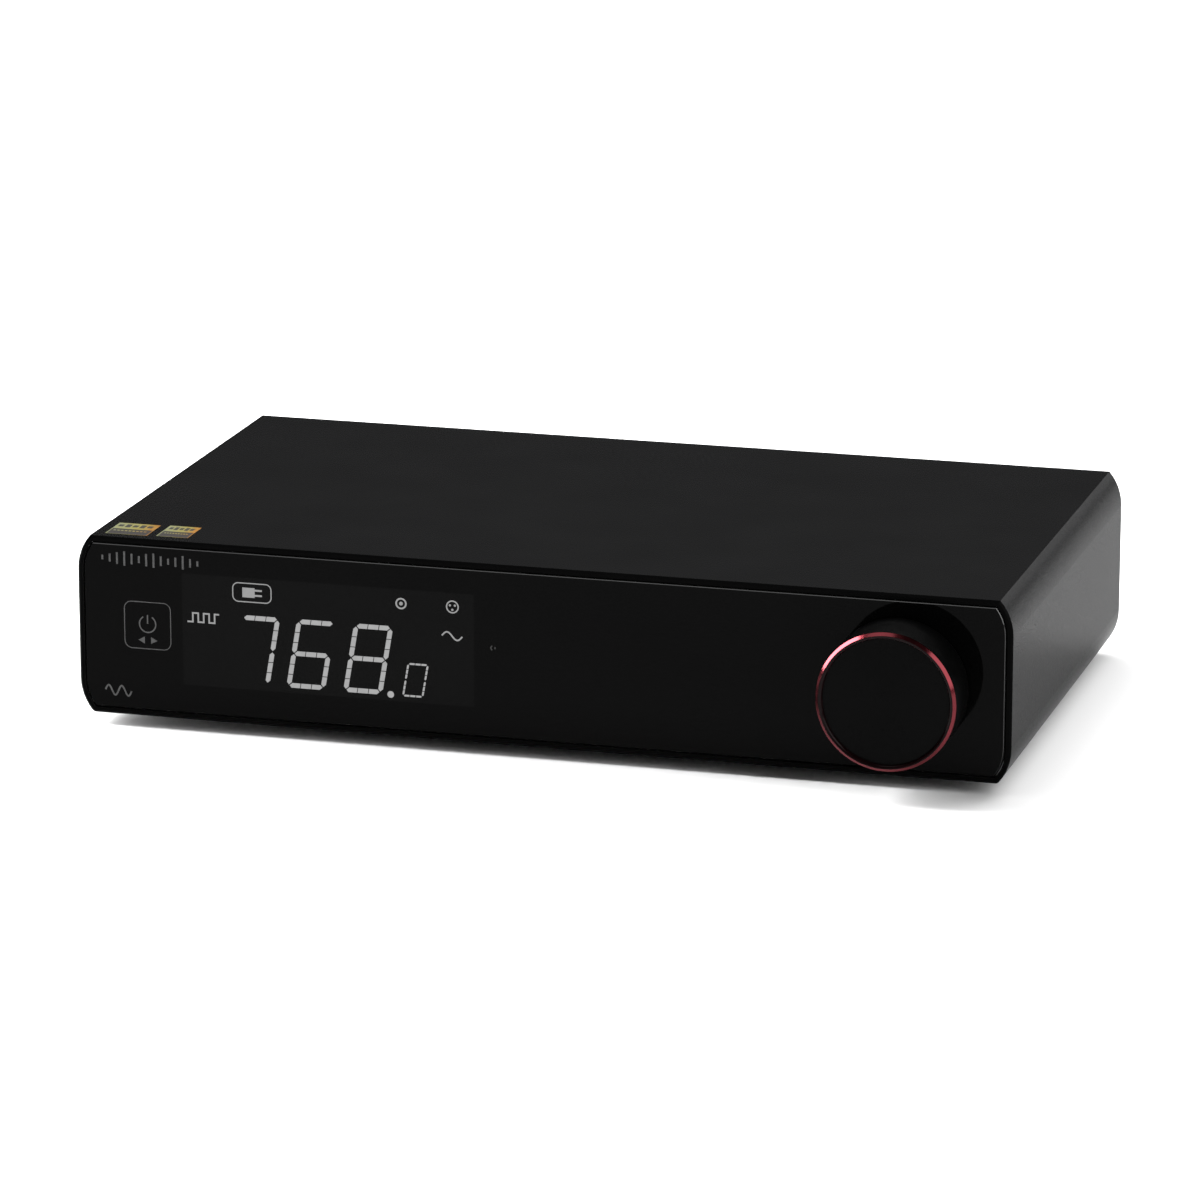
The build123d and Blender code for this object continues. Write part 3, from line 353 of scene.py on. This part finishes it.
def shaded_end_face(face):
    """The end faces and their bevels, which point mostly along Y."""
    at_an_end = face.center.y < FRONT + END_DEPTH or face.center.y > BACK - END_DEPTH
    return abs(face.normal.y) > 0.6 and at_an_end


def ground_bevel(face):
    """The sloping rim, which points neither straight along Y nor straight across it."""
    return 0.3 < abs(face.normal.y) < 0.95 and face.center.y < FRONT + RIM_DEPTH


# The ends take the painted shade; the glass's rim takes its ground bevel.
second_finish("case_sleeve", painted_shade_black, shaded_end_face)
second_finish("front_glass", glass_bevel, ground_bevel)

# %% [markdown]
# ## Making pieces
# A mesh is built in bmesh and handed to `piece`, which names it, gives it its finish, and ties it to
# the body that it moves with. `lathe` turns a profile round an axis along Y, which is right for a
# knob: even rings of four-sided faces, as fine as the eye needs.

# %% Helpers for pieces


def piece(name, mesh_maker, materials, body):
    """Finishes a bmesh as a named object that rides on a body."""
    mesh = bpy.data.meshes.new(name)
    bmesh.ops.recalc_face_normals(mesh_maker, faces=mesh_maker.faces)
    mesh_maker.to_mesh(mesh)
    mesh_maker.free()
    for material in materials:
        mesh.materials.append(material)
    thing = bpy.data.objects.new(name, mesh)
    bpy.context.scene.collection.objects.link(thing)
    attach(thing, body)
    return thing


def lathe(profile, centre, bands=None, steps=192):
    """Turns (radius, distance along +Y) points, a closed outline, round an axis through centre.
    bands gives the material number of each band between two points; without it they are all 0."""
    work = bmesh.new()
    rings = []
    for radius, along in profile:
        ring = []
        for i in range(steps):
            angle = 2 * math.pi * i / steps
            ring.append(work.verts.new((centre.x + radius * math.cos(angle), centre.y + along,
                                        centre.z + radius * math.sin(angle))))
        rings.append(ring)
    for band, (a, b) in enumerate(zip(rings, rings[1:] + rings[:1])):
        for i in range(steps):
            j = (i + 1) % steps
            work.faces.new((a[i], a[j], b[j], b[i])).material_index = bands[band] if bands else 0
    return work


def smooth_by_angle(thing, degrees):
    """Smooth shading that stays sharp at edges steeper than this."""
    for face in thing.data.polygons:
        face.use_smooth = True
    work = bmesh.new()
    work.from_mesh(thing.data)
    for edge in work.edges:
        edge.smooth = not edge.is_manifold or edge.calc_face_angle() < math.radians(degrees)
    work.to_mesh(thing.data)
    work.free()


print("piece helpers: piece, lathe, smooth_by_angle")

# %% [markdown]
# ## The knob
# Three turned pieces: a cup with a softly broken back edge, the red ring with its bright bevel, and
# a flat face sunk inside a fine rim, with a curved step between them. The frame has the same shapes
# with coarser rounds, so they are turned again here with even steps. The ring's bevel is exactly 45
# degrees and one band wide, because that alone decides which lamp each part of it reflects.

# %% Knob cup, ring and face
RING_WIDTH = mm(0.6)
RING_THICK = mm(0.9)
FACE_RADIUS = KNOB_RADIUS - RING_WIDTH - mm(0.05)
FACE_SEAT = mm(0.5)


def rounded_corner(corner, arm_a, arm_b, steps=5):
    """Points of a quarter round that replaces a corner; the arms say where it starts and ends."""
    points = []
    for i in range(steps + 1):
        t = i / steps
        a, b = (1 - math.sin(t * math.pi / 2)), (1 - math.cos(t * math.pi / 2))
        points.append((corner[0] + arm_a[0] * a + arm_b[0] * b, corner[1] + arm_a[1] * a + arm_b[1] * b))
    return points


def knob_cup():
    cup_front = RING_THICK
    cup_back = knob_high.y - KNOB.y
    soft = mm(0.3)
    wall = KNOB_RADIUS - mm(2.2)
    profile = [(FACE_RADIUS, cup_front), (KNOB_RADIUS, cup_front)]
    profile += rounded_corner((KNOB_RADIUS, cup_back), (0, -soft), (-soft, 0))
    web = cup_front + mm(2.4)
    bore = mm(3.2)
    seat = cup_front + FACE_SEAT
    profile += [(wall, cup_back), (wall, web), (bore, web), (bore, seat), (FACE_RADIUS, seat)]
    return lathe(profile, KNOB)


def knob_bevel_ring():
    """A flat inner lip in the second finish, then the bevel, the side and the back in the first."""
    profile = [(FACE_RADIUS, 0), (KNOB_RADIUS - RING_WIDTH, 0), (KNOB_RADIUS, RING_WIDTH),
               (KNOB_RADIUS, RING_THICK), (FACE_RADIUS, RING_THICK)]
    return lathe(profile, KNOB, bands=[1, 0, 0, 0, 0])


def knob_front():
    """A flat disc, then the curved step up to the rim in the second finish."""
    sunk = mm(0.8)
    rim = mm(0.05)
    slope = mm(0.7)
    hub = mm(0.01)
    edge = FACE_RADIUS - mm(0.02)
    back = RING_THICK + FACE_SEAT
    turns = 8
    arc = [(FACE_RADIUS - rim - slope * math.cos(math.pi / 2 * i / turns),
            sunk * (1 - math.sin(math.pi / 2 * i / turns))) for i in range(turns + 1)]
    profile = [(hub, sunk)] + arc + [(edge, 0), (edge, back), (hub, back)]
    return lathe(profile, KNOB, bands=[0] + [1] * (turns + 1) + [0, 0, 0])


cup = piece("knob_cup", knob_cup(), [knob_black], "knob")
red_ring = piece("knob_bevel_ring", knob_bevel_ring(), [knob_red, knob_rim_black], "knob")
front_disc = piece("knob_front_disc", knob_front(), [knob_face_black, knob_rim_black],
                   "knob")
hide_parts("knob_shell")
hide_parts("knob_ring")
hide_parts("knob_face")
for turned in (cup, red_ring, front_disc):
    smooth_by_angle(turned, 25)
print("knob ring, mm:", [round(v * 1000, 2) for v in red_ring.dimensions])

# %% [markdown]
# ## Marks on the glass
# The lit figures and the printed marks are thin plates a few hundredths of a millimetre proud of the
# glass. Each mark is drawn as outlines in X and Z, measured from the middle of the sleeve and from
# its underside, and given that small thickness, so that it is a closed solid like everything else.

# %% Thin marks
MARK_PROUD = mm(0.03)


def loop_of(work, points, y):
    """Lays an (x, z) outline down as a loop of points at this y."""
    return [work.verts.new((x, y, z)) for x, z in points]


def bridge(work, a, b):
    """Joins two loops of the same length with a wall."""
    for i in range(len(a)):
        j = (i + 1) % len(a)
        work.faces.new((a[i], a[j], b[j], b[i]))


def add_plate(work, outline, y_front, y_back):
    """Adds a flat solid with this (x, z) outline to a bmesh."""
    front = loop_of(work, outline, y_front)
    back = loop_of(work, outline, y_back)
    bridge(work, front, back)
    work.faces.new(front)
    work.faces.new(reversed(back))


def add_ribbon(work, points, width, y_front, y_back, closed=False):
    """Adds a flat line of this width along (x, z) points, with mitred corners."""
    count = len(points)
    left, right = [], []
    for i, (x, z) in enumerate(points):
        before = points[i - 1] if closed or i else points[i]
        after = points[(i + 1) % count] if closed or i < count - 1 else points[i]
        a = Vector((x - before[0], z - before[1]))
        b = Vector((after[0] - x, after[1] - z))
        a = a.normalized() if a.length else b.normalized()
        b = b.normalized() if b.length else a
        side = Vector((-(a + b).y, (a + b).x)).normalized()
        reach = width / 2 / max(0.4, side.dot(Vector((-a.y, a.x))))
        left.append((x + side.x * reach, z + side.y * reach))
        right.append((x - side.x * reach, z - side.y * reach))
    rows = [loop_of(work, line, y) for y in (y_front, y_back) for line in (left, right)]
    front_left, front_right, back_left, back_right = rows
    for i in range(count if closed else count - 1):
        j = (i + 1) % count
        work.faces.new((front_left[i], front_left[j], front_right[j], front_right[i]))
        work.faces.new((back_left[i], back_right[i], back_right[j], back_left[j]))
        work.faces.new((front_left[i], back_left[i], back_left[j], front_left[j]))
        work.faces.new((front_right[i], front_right[j], back_right[j], back_right[i]))
    if not closed:
        for i in (0, -1):
            work.faces.new((front_left[i], front_right[i], back_right[i], back_left[i]))


def rounded_box(centre_x, centre_z, width, height, radius, steps=8):
    """Outline of a rectangle with round corners."""
    points = []
    for quarter in range(4):
        sign_x = 1 if quarter in (0, 3) else -1
        sign_z = 1 if quarter < 2 else -1
        for i in range(steps + 1):
            angle = math.pi / 2 * (quarter + i / steps)
            points.append((centre_x + sign_x * (width / 2 - radius) + radius * math.cos(angle),
                           centre_z + sign_z * (height / 2 - radius) + radius * math.sin(angle)))
    return points


def circle(centre_x, centre_z, radius, start=0.0, end=360.0, steps=32):
    """Points round a circle, or along an arc of it from start to end degrees."""
    full = end - start >= 360
    count = steps if full else steps + 1
    return [(centre_x + radius * math.cos(math.radians(start + (end - start) * i / steps)),
             centre_z + radius * math.sin(math.radians(start + (end - start) * i / steps)))
            for i in range(count)]


def on_front(points):
    """Millimetres from the sleeve's middle and underside, as places in the frame."""
    return [(mm(x), UNDER + mm(z)) for x, z in points]


print("marks stand proud of the glass by, mm:", round(MARK_PROUD * 1000, 3))


# %% [markdown]
# ## The lit figures
# Each figure has seven bars, and each bar is three cells with hairline gaps, as the display's own
# segments are. The figures lean by about nine degrees. A table says which bars are lit, one letter
# to a bar in the usual order: top, upper right, lower right, bottom, lower left, upper left, middle.

# %% Lit figures
BARS_LIT = {"7": "abc", "6": "afgedc", "8": "abcdefg", "0": "abcdef"}
LEAN = math.tan(math.radians(9.8))


def bar_ends(letter, width, height):
    """Start and end of a bar's centre line in an upright figure whose lower left corner is 0, 0."""
    half = height / 2
    return {"a": ((0, height), (width, height)), "b": ((width, height), (width, half)),
            "c": ((width, half), (width, 0)), "d": ((0, 0), (width, 0)), "e": ((0, half), (0, 0)),
            "f": ((0, height), (0, half)), "g": ((0, half), (width, half))}[letter]


def bar_cells(start, end, thick, gap, cells=3):
    """Outlines of a bar's cells: pointed at the bar's two ends, square between the cells."""
    a, b = Vector(start), Vector(end)
    along = (b - a).normalized()
    across = Vector((-along.y, along.x)) * thick / 2
    low, high = gap, (b - a).length - gap
    shapes = []
    for i in range(cells):
        s = low + (high - low) * i / cells + (gap / 2 if i else 0)
        e = low + (high - low) * (i + 1) / cells - (gap / 2 if i < cells - 1 else 0)
        point = thick / 2
        first = [a + along * s] if i == 0 else []
        last = [a + along * e] if i == cells - 1 else []
        s_in = s + point if i == 0 else s
        e_in = e - point if i == cells - 1 else e
        shapes.append(first + [a + along * s_in + across, a + along * e_in + across] + last
                      + [a + along * e_in - across, a + along * s_in - across])
    return shapes


def add_figure(work, figure, left, base, width, height, thick, gap):
    """Adds the lit bars of one leaning figure; left and base are its lower left corner's centre."""
    for letter in BARS_LIT[figure]:
        start, end = bar_ends(letter, width, height)
        for cell in bar_cells(start, end, thick, gap):
            outline = [(left + p.x + p.y * LEAN, base + p.y) for p in cell]
            add_plate(work, on_front(outline), FRONT - MARK_PROUD, FRONT + MARK_PROUD)


def lit(name, colour, strength):
    """Glowing finish, slightly uneven as a lit mask is."""
    material, tree, shader = finish(name, shade(colour, 0.04), 0.35, specular=0.1)
    cloud = noise(tree, mm(1.6), detail=2)
    tree.links.new(tint(tree, cloud, shade(colour, 0.88), colour), shader.inputs["Emission Color"])
    shader.inputs["Emission Strength"].default_value = strength
    return material


figure_light = lit("figure_light", (1.0, 1.0, 1.0), 0.37)
BIG = {"width": 7.5, "height": 13.9, "thick": 1.02, "gap": 0.16}
SMALL = {"width": 4.2, "height": 6.9, "thick": 0.4, "gap": 0.16}
BIG_BASE, SMALL_BASE = 9.25, 8.95
figures = bmesh.new()
for figure, left in (("7", -65.85), ("6", -53.65), ("8", -41.2)):
    add_figure(figures, figure, left, BIG_BASE, **BIG)
add_figure(figures, "0", -28.7, SMALL_BASE, **SMALL)
point = circle(-31.4, SMALL_BASE, 0.72)
add_plate(figures, on_front(point), FRONT - MARK_PROUD, FRONT + MARK_PROUD)
lit_figures = piece("lit_figures", figures, [figure_light], "cabinet")
print("faces in the lit figures:", len(lit_figures.data.polygons))

# %% [markdown]
# ## Display window
# The window is a faintly lighter area of the glass, where the display sits behind it. A plate set
# almost level with the glass shows it, in a finish a shade lighter than the glass's own.

# %% Display window
WINDOW_LEFT, WINDOW_RIGHT, WINDOW_LOW, WINDOW_HIGH = -76.9, -13.3, 7.6, 31.7


def bar_box(x0, x1, z0, z1):
    """Outline of an upright rectangle."""
    return [(x0, z0), (x1, z0), (x1, z1), (x0, z1)]


window = bmesh.new()
add_plate(window, on_front(bar_box(WINDOW_LEFT, WINDOW_RIGHT, WINDOW_LOW, WINDOW_HIGH)),
          FRONT - mm(0.006), FRONT + MARK_PROUD)
display = piece("display_window", window, [display_window], "cabinet")
print("window, mm:", [round(v * 1000, 2) for v in display.dimensions])

# %% [markdown]
# ## Printed and lit marks
# The marks round the display are of two kinds: grey print, which only reflects, and lit captions,
# which glow a little less than the figures. One helper makes any mark from lines and filled shapes.

# %% Helpers for marks


def print_and_glint(name, grey, roughness=0.4):
    """Flat grey on the glass that varies a little, as ink does: print, and for the eye a painted glint."""
    material, tree, shader = finish(name, (grey, grey, grey), roughness, specular=0.2)
    fleck = noise(tree, mm(0.5), detail=2)
    tree.links.new(tint(tree, fleck, (grey * 0.8,) * 3, (grey * 1.1,) * 3), shader.inputs["Base Color"])
    tree.links.new(spread(tree, fleck, roughness - 0.05, roughness + 0.1), shader.inputs["Roughness"])
    return material


mark_print = print_and_glint("mark_print", 0.06)
# The eye's two arcs are a painted highlight: a faint glint on the receiver's lens, drawn as dark grey.
painted_eye_glint = print_and_glint("painted_eye_glint", 0.02, 0.2)
caption_light = lit("caption_light", (1.0, 1.0, 1.0), 0.3)


def front_mark(name, lines=(), shapes=(), width=0.3, material=mark_print):
    """One mark on the glass: ribbons along lines, and filled shapes. A line is (points, closed)."""
    work = bmesh.new()
    for points, closed in lines:
        add_ribbon(work, on_front(points), mm(width), FRONT - MARK_PROUD, FRONT + MARK_PROUD, closed)
    for outline in shapes:
        add_plate(work, on_front(outline), FRONT - MARK_PROUD, FRONT + MARK_PROUD)
    return piece(name, work, [material], "cabinet")


print("mark finishes:", mark_print.name, painted_eye_glint.name, caption_light.name)

# %% [markdown]
# ## The touch square
# A finger on this printed square wakes the converter, or steps through its inputs. It is a rounded
# frame with the usual power sign, an open ring with a stroke in its gap, over two small arrows.

# %% Touch square
TOUCH_X, TOUCH_Z = -84.65, 19.8
POWER_Z = 20.1
ARROW_Z = 16.6

front_mark("touch_frame", [(rounded_box(TOUCH_X, TOUCH_Z, 10.2, 10.1, 1.6), True)], width=0.18)
power_ring = circle(TOUCH_X, POWER_Z, 1.8, 122, 418)
power_stroke = [(TOUCH_X, POWER_Z + 0.1), (TOUCH_X, POWER_Z + 2)]
front_mark("touch_sign", [(power_ring, False), (power_stroke, False)], width=0.28)
arrows = []
for side in (-1, 1):
    base, tip = TOUCH_X + side * 0.7, TOUCH_X + side * 2.1
    arrows.append([(base, ARROW_Z - 0.75), (base, ARROW_Z + 0.75), (tip, ARROW_Z)])
front_mark("touch_arrows", shapes=arrows)
print("touch square's middle, mm:", (TOUCH_X, TOUCH_Z))

# %% [markdown]
# ## The remote control's eye
# The receiver sits behind the glass, and its round lens shows only as a faint glint. Two short arcs of very
# dark grey are a painted highlight for that glint; anything brighter would look like a mark on the outside.

# %% Eye glint
EYE_X, EYE_Z = -9.2, 20.6
glint = [(circle(EYE_X, EYE_Z, 0.45, start, end), False) for start, end in ((110, 250), (-30, 30))]
front_mark("eye_glint", glint, width=0.3, material=painted_eye_glint)
print("arcs in the eye:", len(glint))

# %% [markdown]
# ## Signs on the glass
# The marks stand where a maker would print words; here they are plain signs. Two are printed: a row
# of level bars for a name, and a wave for a model. The rest are lit: a framed plug for the input in
# use, a square wave for the kind of signal, a ring round one dot and a ring round three for the two
# outputs, and one cycle of a wave for the unit of the figures.

# %% Printed signs
ROW_LEFT, ROW_WIDTH, ROW_Z = -94.4, 21.0, 33.95
level_heights = [1.0, 1.7, 2.5, 3.1, 2.3, 1.5, 2.7, 3.1, 2.1, 1.3, 2.0, 2.9, 1.8, 1.1]
pitch = ROW_WIDTH / (len(level_heights) - 1)
levels = []
for i, height in enumerate(level_heights):
    x = ROW_LEFT + i * pitch
    levels.append(([(x, ROW_Z - height / 2), (x, ROW_Z + height / 2)], False))
front_mark("level_row", levels, width=0.42)


def sine(left, middle, length, height, cycles, steps):
    """Points of a wave drawn to the right from its left end."""
    return [(left + length * i / steps, middle + height * math.sin(2 * math.pi * cycles * i / steps))
            for i in range(steps + 1)]


front_mark("wave_sign", [(sine(-94.3, 5.2, 5.8, 1.05, 2, 48), False)], width=0.36)
print("bars in the level row:", len(levels))

# %% Lit signs
front_mark("input_frame", [(rounded_box(-61.5, 28.55, 8.4, 4.0, 1.2), True)], width=0.22,
           material=caption_light)
plug = [bar_box(-63.6, -60.9, 27.5, 29.6), bar_box(-60.9, -59.3, 28.9, 29.3),
        bar_box(-60.9, -59.3, 27.8, 28.2)]
front_mark("input_sign", shapes=plug, material=caption_light)

STEP_LOW, STEP_HIGH = 21.4, 23.3
edges = (-74.6, -73.4, -72.2, -71.0, -69.8)
square_wave = [(-75.8, STEP_LOW)]
for i, x in enumerate(edges):
    before, after = (STEP_LOW, STEP_HIGH) if i % 2 == 0 else (STEP_HIGH, STEP_LOW)
    square_wave += [(x, before), (x, after)]
square_wave.append((-68.8, STEP_HIGH))
front_mark("signal_sign", [(square_wave, False)], width=0.34, material=caption_light)

SINGLE_X, SINGLE_Z = -29.0, 28.65
front_mark("single_output_sign", [(circle(SINGLE_X, SINGLE_Z, 1.05), True)],
           [circle(SINGLE_X, SINGLE_Z, 0.4)], width=0.34, material=caption_light)
BALANCED_X, BALANCED_Z = -17.9, 28.75
dots = [circle(BALANCED_X + 0.62 * math.cos(a), BALANCED_Z + 0.62 * math.sin(a), 0.24)
        for a in (0.52, 2.62, 4.71)]
front_mark("balanced_output_sign", [(circle(BALANCED_X, BALANCED_Z, 1.25), True)], dots, width=0.28,
           material=caption_light)
front_mark("cycle_sign", [(sine(-20.2, 22.5, 4.4, 0.85, 1, 32), False)], width=0.32,
           material=caption_light)
print("steps in the square wave:", len(edges))

# %% [markdown]
# ## Gold-edged labels
# Two thin foil labels lie in shallow beds on the top, near the front left corner. Each has a gold
# border, a gold far half and a dark near half. Foil is embossed, so the border and the block stand a
# few hundredths of a millimetre above the dark ground, and none of it stands above the top itself.
# The foil is rough enough to keep its colour when a lamp's reflection crosses it.

# %% Gold labels


def foil(name, left, right):
    """Gold foil that shifts from a pale greenish gold at its left edge to orange gold at its right: a
    painted sheen for the foil's rainbow play of light.
    """
    material, tree, shader = finish(name, (0.7, 0.6, 0.3), 0.3, metallic=1.0)
    place = tree.nodes.new("ShaderNodeTexCoord")
    axes = tree.nodes.new("ShaderNodeSeparateXYZ")
    across = tree.nodes.new("ShaderNodeMapRange")
    across.inputs["From Min"].default_value = left
    across.inputs["From Max"].default_value = right
    drift = tree.nodes.new("ShaderNodeMath")
    drift.operation = "ADD"
    ramp = tree.nodes.new("ShaderNodeValToRGB")
    # These ramp colours across the label are the painted sheen; the foil itself is one gold.
    ramp.color_ramp.elements[0].color = (0.33, 0.35, 0.2, 1)
    ramp.color_ramp.elements[1].color = (0.44, 0.2, 0.04, 1)
    ramp.color_ramp.elements.new(0.6).color = (0.4, 0.35, 0.1, 1)
    fleck = noise(tree, mm(0.8), detail=3)
    tree.links.new(place.outputs["Object"], axes.inputs["Vector"])
    tree.links.new(axes.outputs["X"], across.inputs["Value"])
    tree.links.new(across.outputs["Result"], drift.inputs[0])
    tree.links.new(spread(tree, fleck, -0.15, 0.15), drift.inputs[1])
    tree.links.new(drift.outputs["Value"], ramp.inputs["Fac"])
    tree.links.new(ramp.outputs["Color"], shader.inputs["Base Color"])
    tree.links.new(spread(tree, fleck, 0.42, 0.58), shader.inputs["Roughness"])
    bumps(tree, shader, fleck, mm(0.004))
    return material


label_ground = moulded("label_ground", (0.010, 0.005, 0.0035), 0.55)
label_ink = moulded("label_ink", (0.006, 0.006, 0.005), 0.6)
LABEL_DEPTH = mm(9.0)
LABEL_BED = mm(0.1)
GROUND_TOP = TOP - mm(0.05)
FOIL_TOP = TOP - mm(0.02)
INK_TOP = TOP - mm(0.005)


def add_flat(work, outline, low, high):
    """Adds a solid that lies flat: an (x, y) outline between two heights."""
    upper = [work.verts.new((x, y, high)) for x, y in outline]
    lower = [work.verts.new((x, y, low)) for x, y in outline]
    bridge(work, upper, lower)
    work.faces.new(upper)
    work.faces.new(reversed(lower))


def box_outline(x0, x1, y0, y1):
    """Outline of a rectangle that lies flat."""
    return [(x0, y0), (x1, y0), (x1, y1), (x0, y1)]


def label_foil(x0, x1, y0, y1):
    """The border, the block over the far half, and a row of dashes on the near half."""
    gold = bmesh.new()
    edge = mm(0.2)
    block_low = y0 + LABEL_DEPTH * 0.5
    outlines = [box_outline(x0, x1, y0, y0 + edge), box_outline(x0, x0 + edge, y0 + edge, y1),
                box_outline(x1 - edge, x1, y0 + edge, y1), box_outline(x0 + edge, x1 - edge, block_low, y1)]
    dashes = 9
    step = (x1 - x0 - 8 * edge) / dashes
    for i in range(dashes):
        start = x0 + 4 * edge + step * i
        outlines.append(box_outline(start, start + step * 0.6,
                                    y0 + LABEL_DEPTH * 0.3, y0 + LABEL_DEPTH * 0.36))
    for outline in outlines:
        add_flat(gold, outline, GROUND_TOP - mm(0.01), FOIL_TOP)
    return gold


def label_bars(x0, x1, y0):
    """Dark bars on the gold block, tall and short by turns, where words would be."""
    ink = bmesh.new()
    margin = mm(0.6)
    bars = 5
    step = (x1 - x0 - 2 * margin) / bars
    middle = y0 + LABEL_DEPTH * 0.76
    for i in range(bars):
        start = x0 + margin + step * i
        half = LABEL_DEPTH * (0.26 if i % 2 else 0.18) / 2
        add_flat(ink, box_outline(start, start + step * 0.72, middle - half, middle + half),
                 FOIL_TOP - mm(0.005), INK_TOP)
    return ink


def gold_label(name, left, width, near):
    """left is from the sleeve's middle to the label's left edge, near from the sleeve's front edge."""
    x0, x1 = mm(left), mm(left + width)
    y0, y1 = FRONT + mm(near), FRONT + mm(near) + LABEL_DEPTH
    ground = bmesh.new()
    add_flat(ground, box_outline(x0, x1, y0, y1), TOP - LABEL_BED, GROUND_TOP)
    piece(name + "_ground", ground, [label_ground], "cabinet")
    gold = foil(name + "_gold", x0, x1)
    piece(name + "_foil", label_foil(x0, x1, y0, y1), [gold], "cabinet")
    piece(name + "_ink", label_bars(x0, x1, y0), [label_ink], "cabinet")
    print(name, "mm wide:", width)


gold_label("wide_label", -94.8, 9.2, 3.0)
gold_label("narrow_label", -83.7, 7.0, 3.5)

# %% [markdown]
# ## Floor
# The floor is plain and pale, wide enough to fill the view from any side. A very faint cloud keeps it
# from being one flat tone.

# %% Floor


def pale_floor():
    """A wide white sheet just under the feet, for the views only."""
    work = bmesh.new()
    half = 4.0
    corners = ((-half, -half), (half, -half), (half, half), (-half, half))
    work.faces.new([work.verts.new((x, y, 0)) for x, y in corners])
    mesh = bpy.data.meshes.new("floor")
    work.to_mesh(mesh)
    work.free()
    material, tree, shader = finish("floor_white", (0.9, 0.9, 0.9), 0.9, specular=0.1)
    cloud = noise(tree, 0.5)
    tree.links.new(tint(tree, cloud, (0.89, 0.89, 0.89), (0.91, 0.91, 0.91)), shader.inputs["Base Color"])
    mesh.materials.append(material)
    thing = bpy.data.objects.new("floor", mesh)
    bpy.context.scene.collection.objects.link(thing)
    return thing


floor = pale_floor()
print("floor, m:", [round(v, 2) for v in floor.dimensions])

# %% [markdown]
# ## Lamps and sky
# A wide lamp overhead lights everything evenly. A soft lamp low at the back right fills the sleeve's
# curved side. Two weaker lamps, above the front left and at the front right, lighten what those two
# leave dark. The sky stays dark, so that the flat black top stays black.
#
# The strip at the left makes the bright glint on the ring. It is very bright, and seen low from the
# right it would turn the whole top white, so it is linked to the ring, the glass and the floor, and
# lights nothing else.

# %% Lamps


def lamp(name, place, aim, size_x, size_y, power, roll=0.0):
    """A soft rectangular lamp at place, turned to face aim, then rolled about its own axis by degrees."""
    light = bpy.data.lights.new(name, "AREA")
    light.shape = "RECTANGLE"
    light.size = size_x
    light.size_y = size_y
    light.energy = power
    thing = bpy.data.objects.new(name, light)
    thing.location = place
    facing = (Vector(aim) - Vector(place)).to_track_quat("-Z", "Y")
    thing.rotation_euler = (facing @ Quaternion((0, 0, 1), math.radians(roll))).to_euler()
    thing.visible_camera = False
    bpy.context.scene.collection.objects.link(thing)
    return thing


middle = (0, 0, mm(20))
lamp("overhead", (0.1, 1.7, 3.0), (0.1, 1.7, 0), 5.0, 3.0, 215)
lamp("side_fill", (0.85, 2.2, 0.62), middle, 1.3, 0.8, 12)
lamp("front_top", (-0.57, -0.57, 2.07), middle, 0.9, 0.9, 5.5)
strip = lamp("left_strip", (-1.9, 0.05, 0.95), middle, 0.6, 2.2, 150, roll=-24)
lamp("right_soft", (1.6, -0.7, 0.8), middle, 1.2, 1.4, 24)
print("lamps:", len(bpy.data.lights))

# %% What the strip lights
lit_by_strip = bpy.data.collections.new("lit_by_strip")
for thing in (red_ring, frame["nodes"]["front_glass"], floor):
    lit_by_strip.objects.link(thing)
strip.light_linking.receiver_collection = lit_by_strip

# %% Sky
world = bpy.data.worlds.new("dim_sky")
world.use_nodes = True
sky = world.node_tree.nodes["Background"]
sky.inputs["Color"].default_value = (1, 1, 1, 1)
sky.inputs["Strength"].default_value = 0.07
bpy.context.scene.world = world
bpy.context.scene.view_settings.view_transform = "Standard"
print("sky strength:", round(sky.inputs["Strength"].default_value, 3))

# %% [markdown]
# ## Camera
# The camera looks from a little to the right and a little above, through a long lens, so that the
# body's long edges stay nearly parallel. It is placed by its direction and distance from a point near
# the middle of the body, which is easier to adjust than three coordinates.

# %% Camera
AZIMUTH = math.radians(15.75)
ELEVATION = math.radians(15.11)
DISTANCE = mm(1333.4)
LENS = 186.7
SENSOR_WIDTH = 36
AIM_HEIGHT = mm(17.5)
AIM_LEFT = mm(2.14)
AIM_DOWN = mm(0.62)

toward_camera = Vector((math.sin(AZIMUTH) * math.cos(ELEVATION),
                        -math.cos(AZIMUTH) * math.cos(ELEVATION),
                        math.sin(ELEVATION)))
across = Vector((math.cos(AZIMUTH), math.sin(AZIMUTH), 0))
upward = toward_camera.cross(across)
aim = Vector((0, (FRONT + BACK) / 2, UNDER + AIM_HEIGHT)) - across * AIM_LEFT - upward * AIM_DOWN
camera_data = bpy.data.cameras.new("camera")
camera_data.lens = LENS
camera_data.sensor_width = SENSOR_WIDTH
camera = bpy.data.objects.new("camera", camera_data)
camera.location = aim + toward_camera * DISTANCE
camera.rotation_mode = "QUATERNION"
camera.rotation_quaternion = (-toward_camera).to_track_quat("-Z", "Y")
bpy.context.scene.collection.objects.link(camera)
bpy.context.scene.camera = camera
print("camera, mm:", [round(v * 1000) for v in camera.location])

# %% [markdown]
# ## The end
# The looks must not change the object's size. This last step only brings the scene up to date.

# %% The end
bpy.context.view_layer.update()
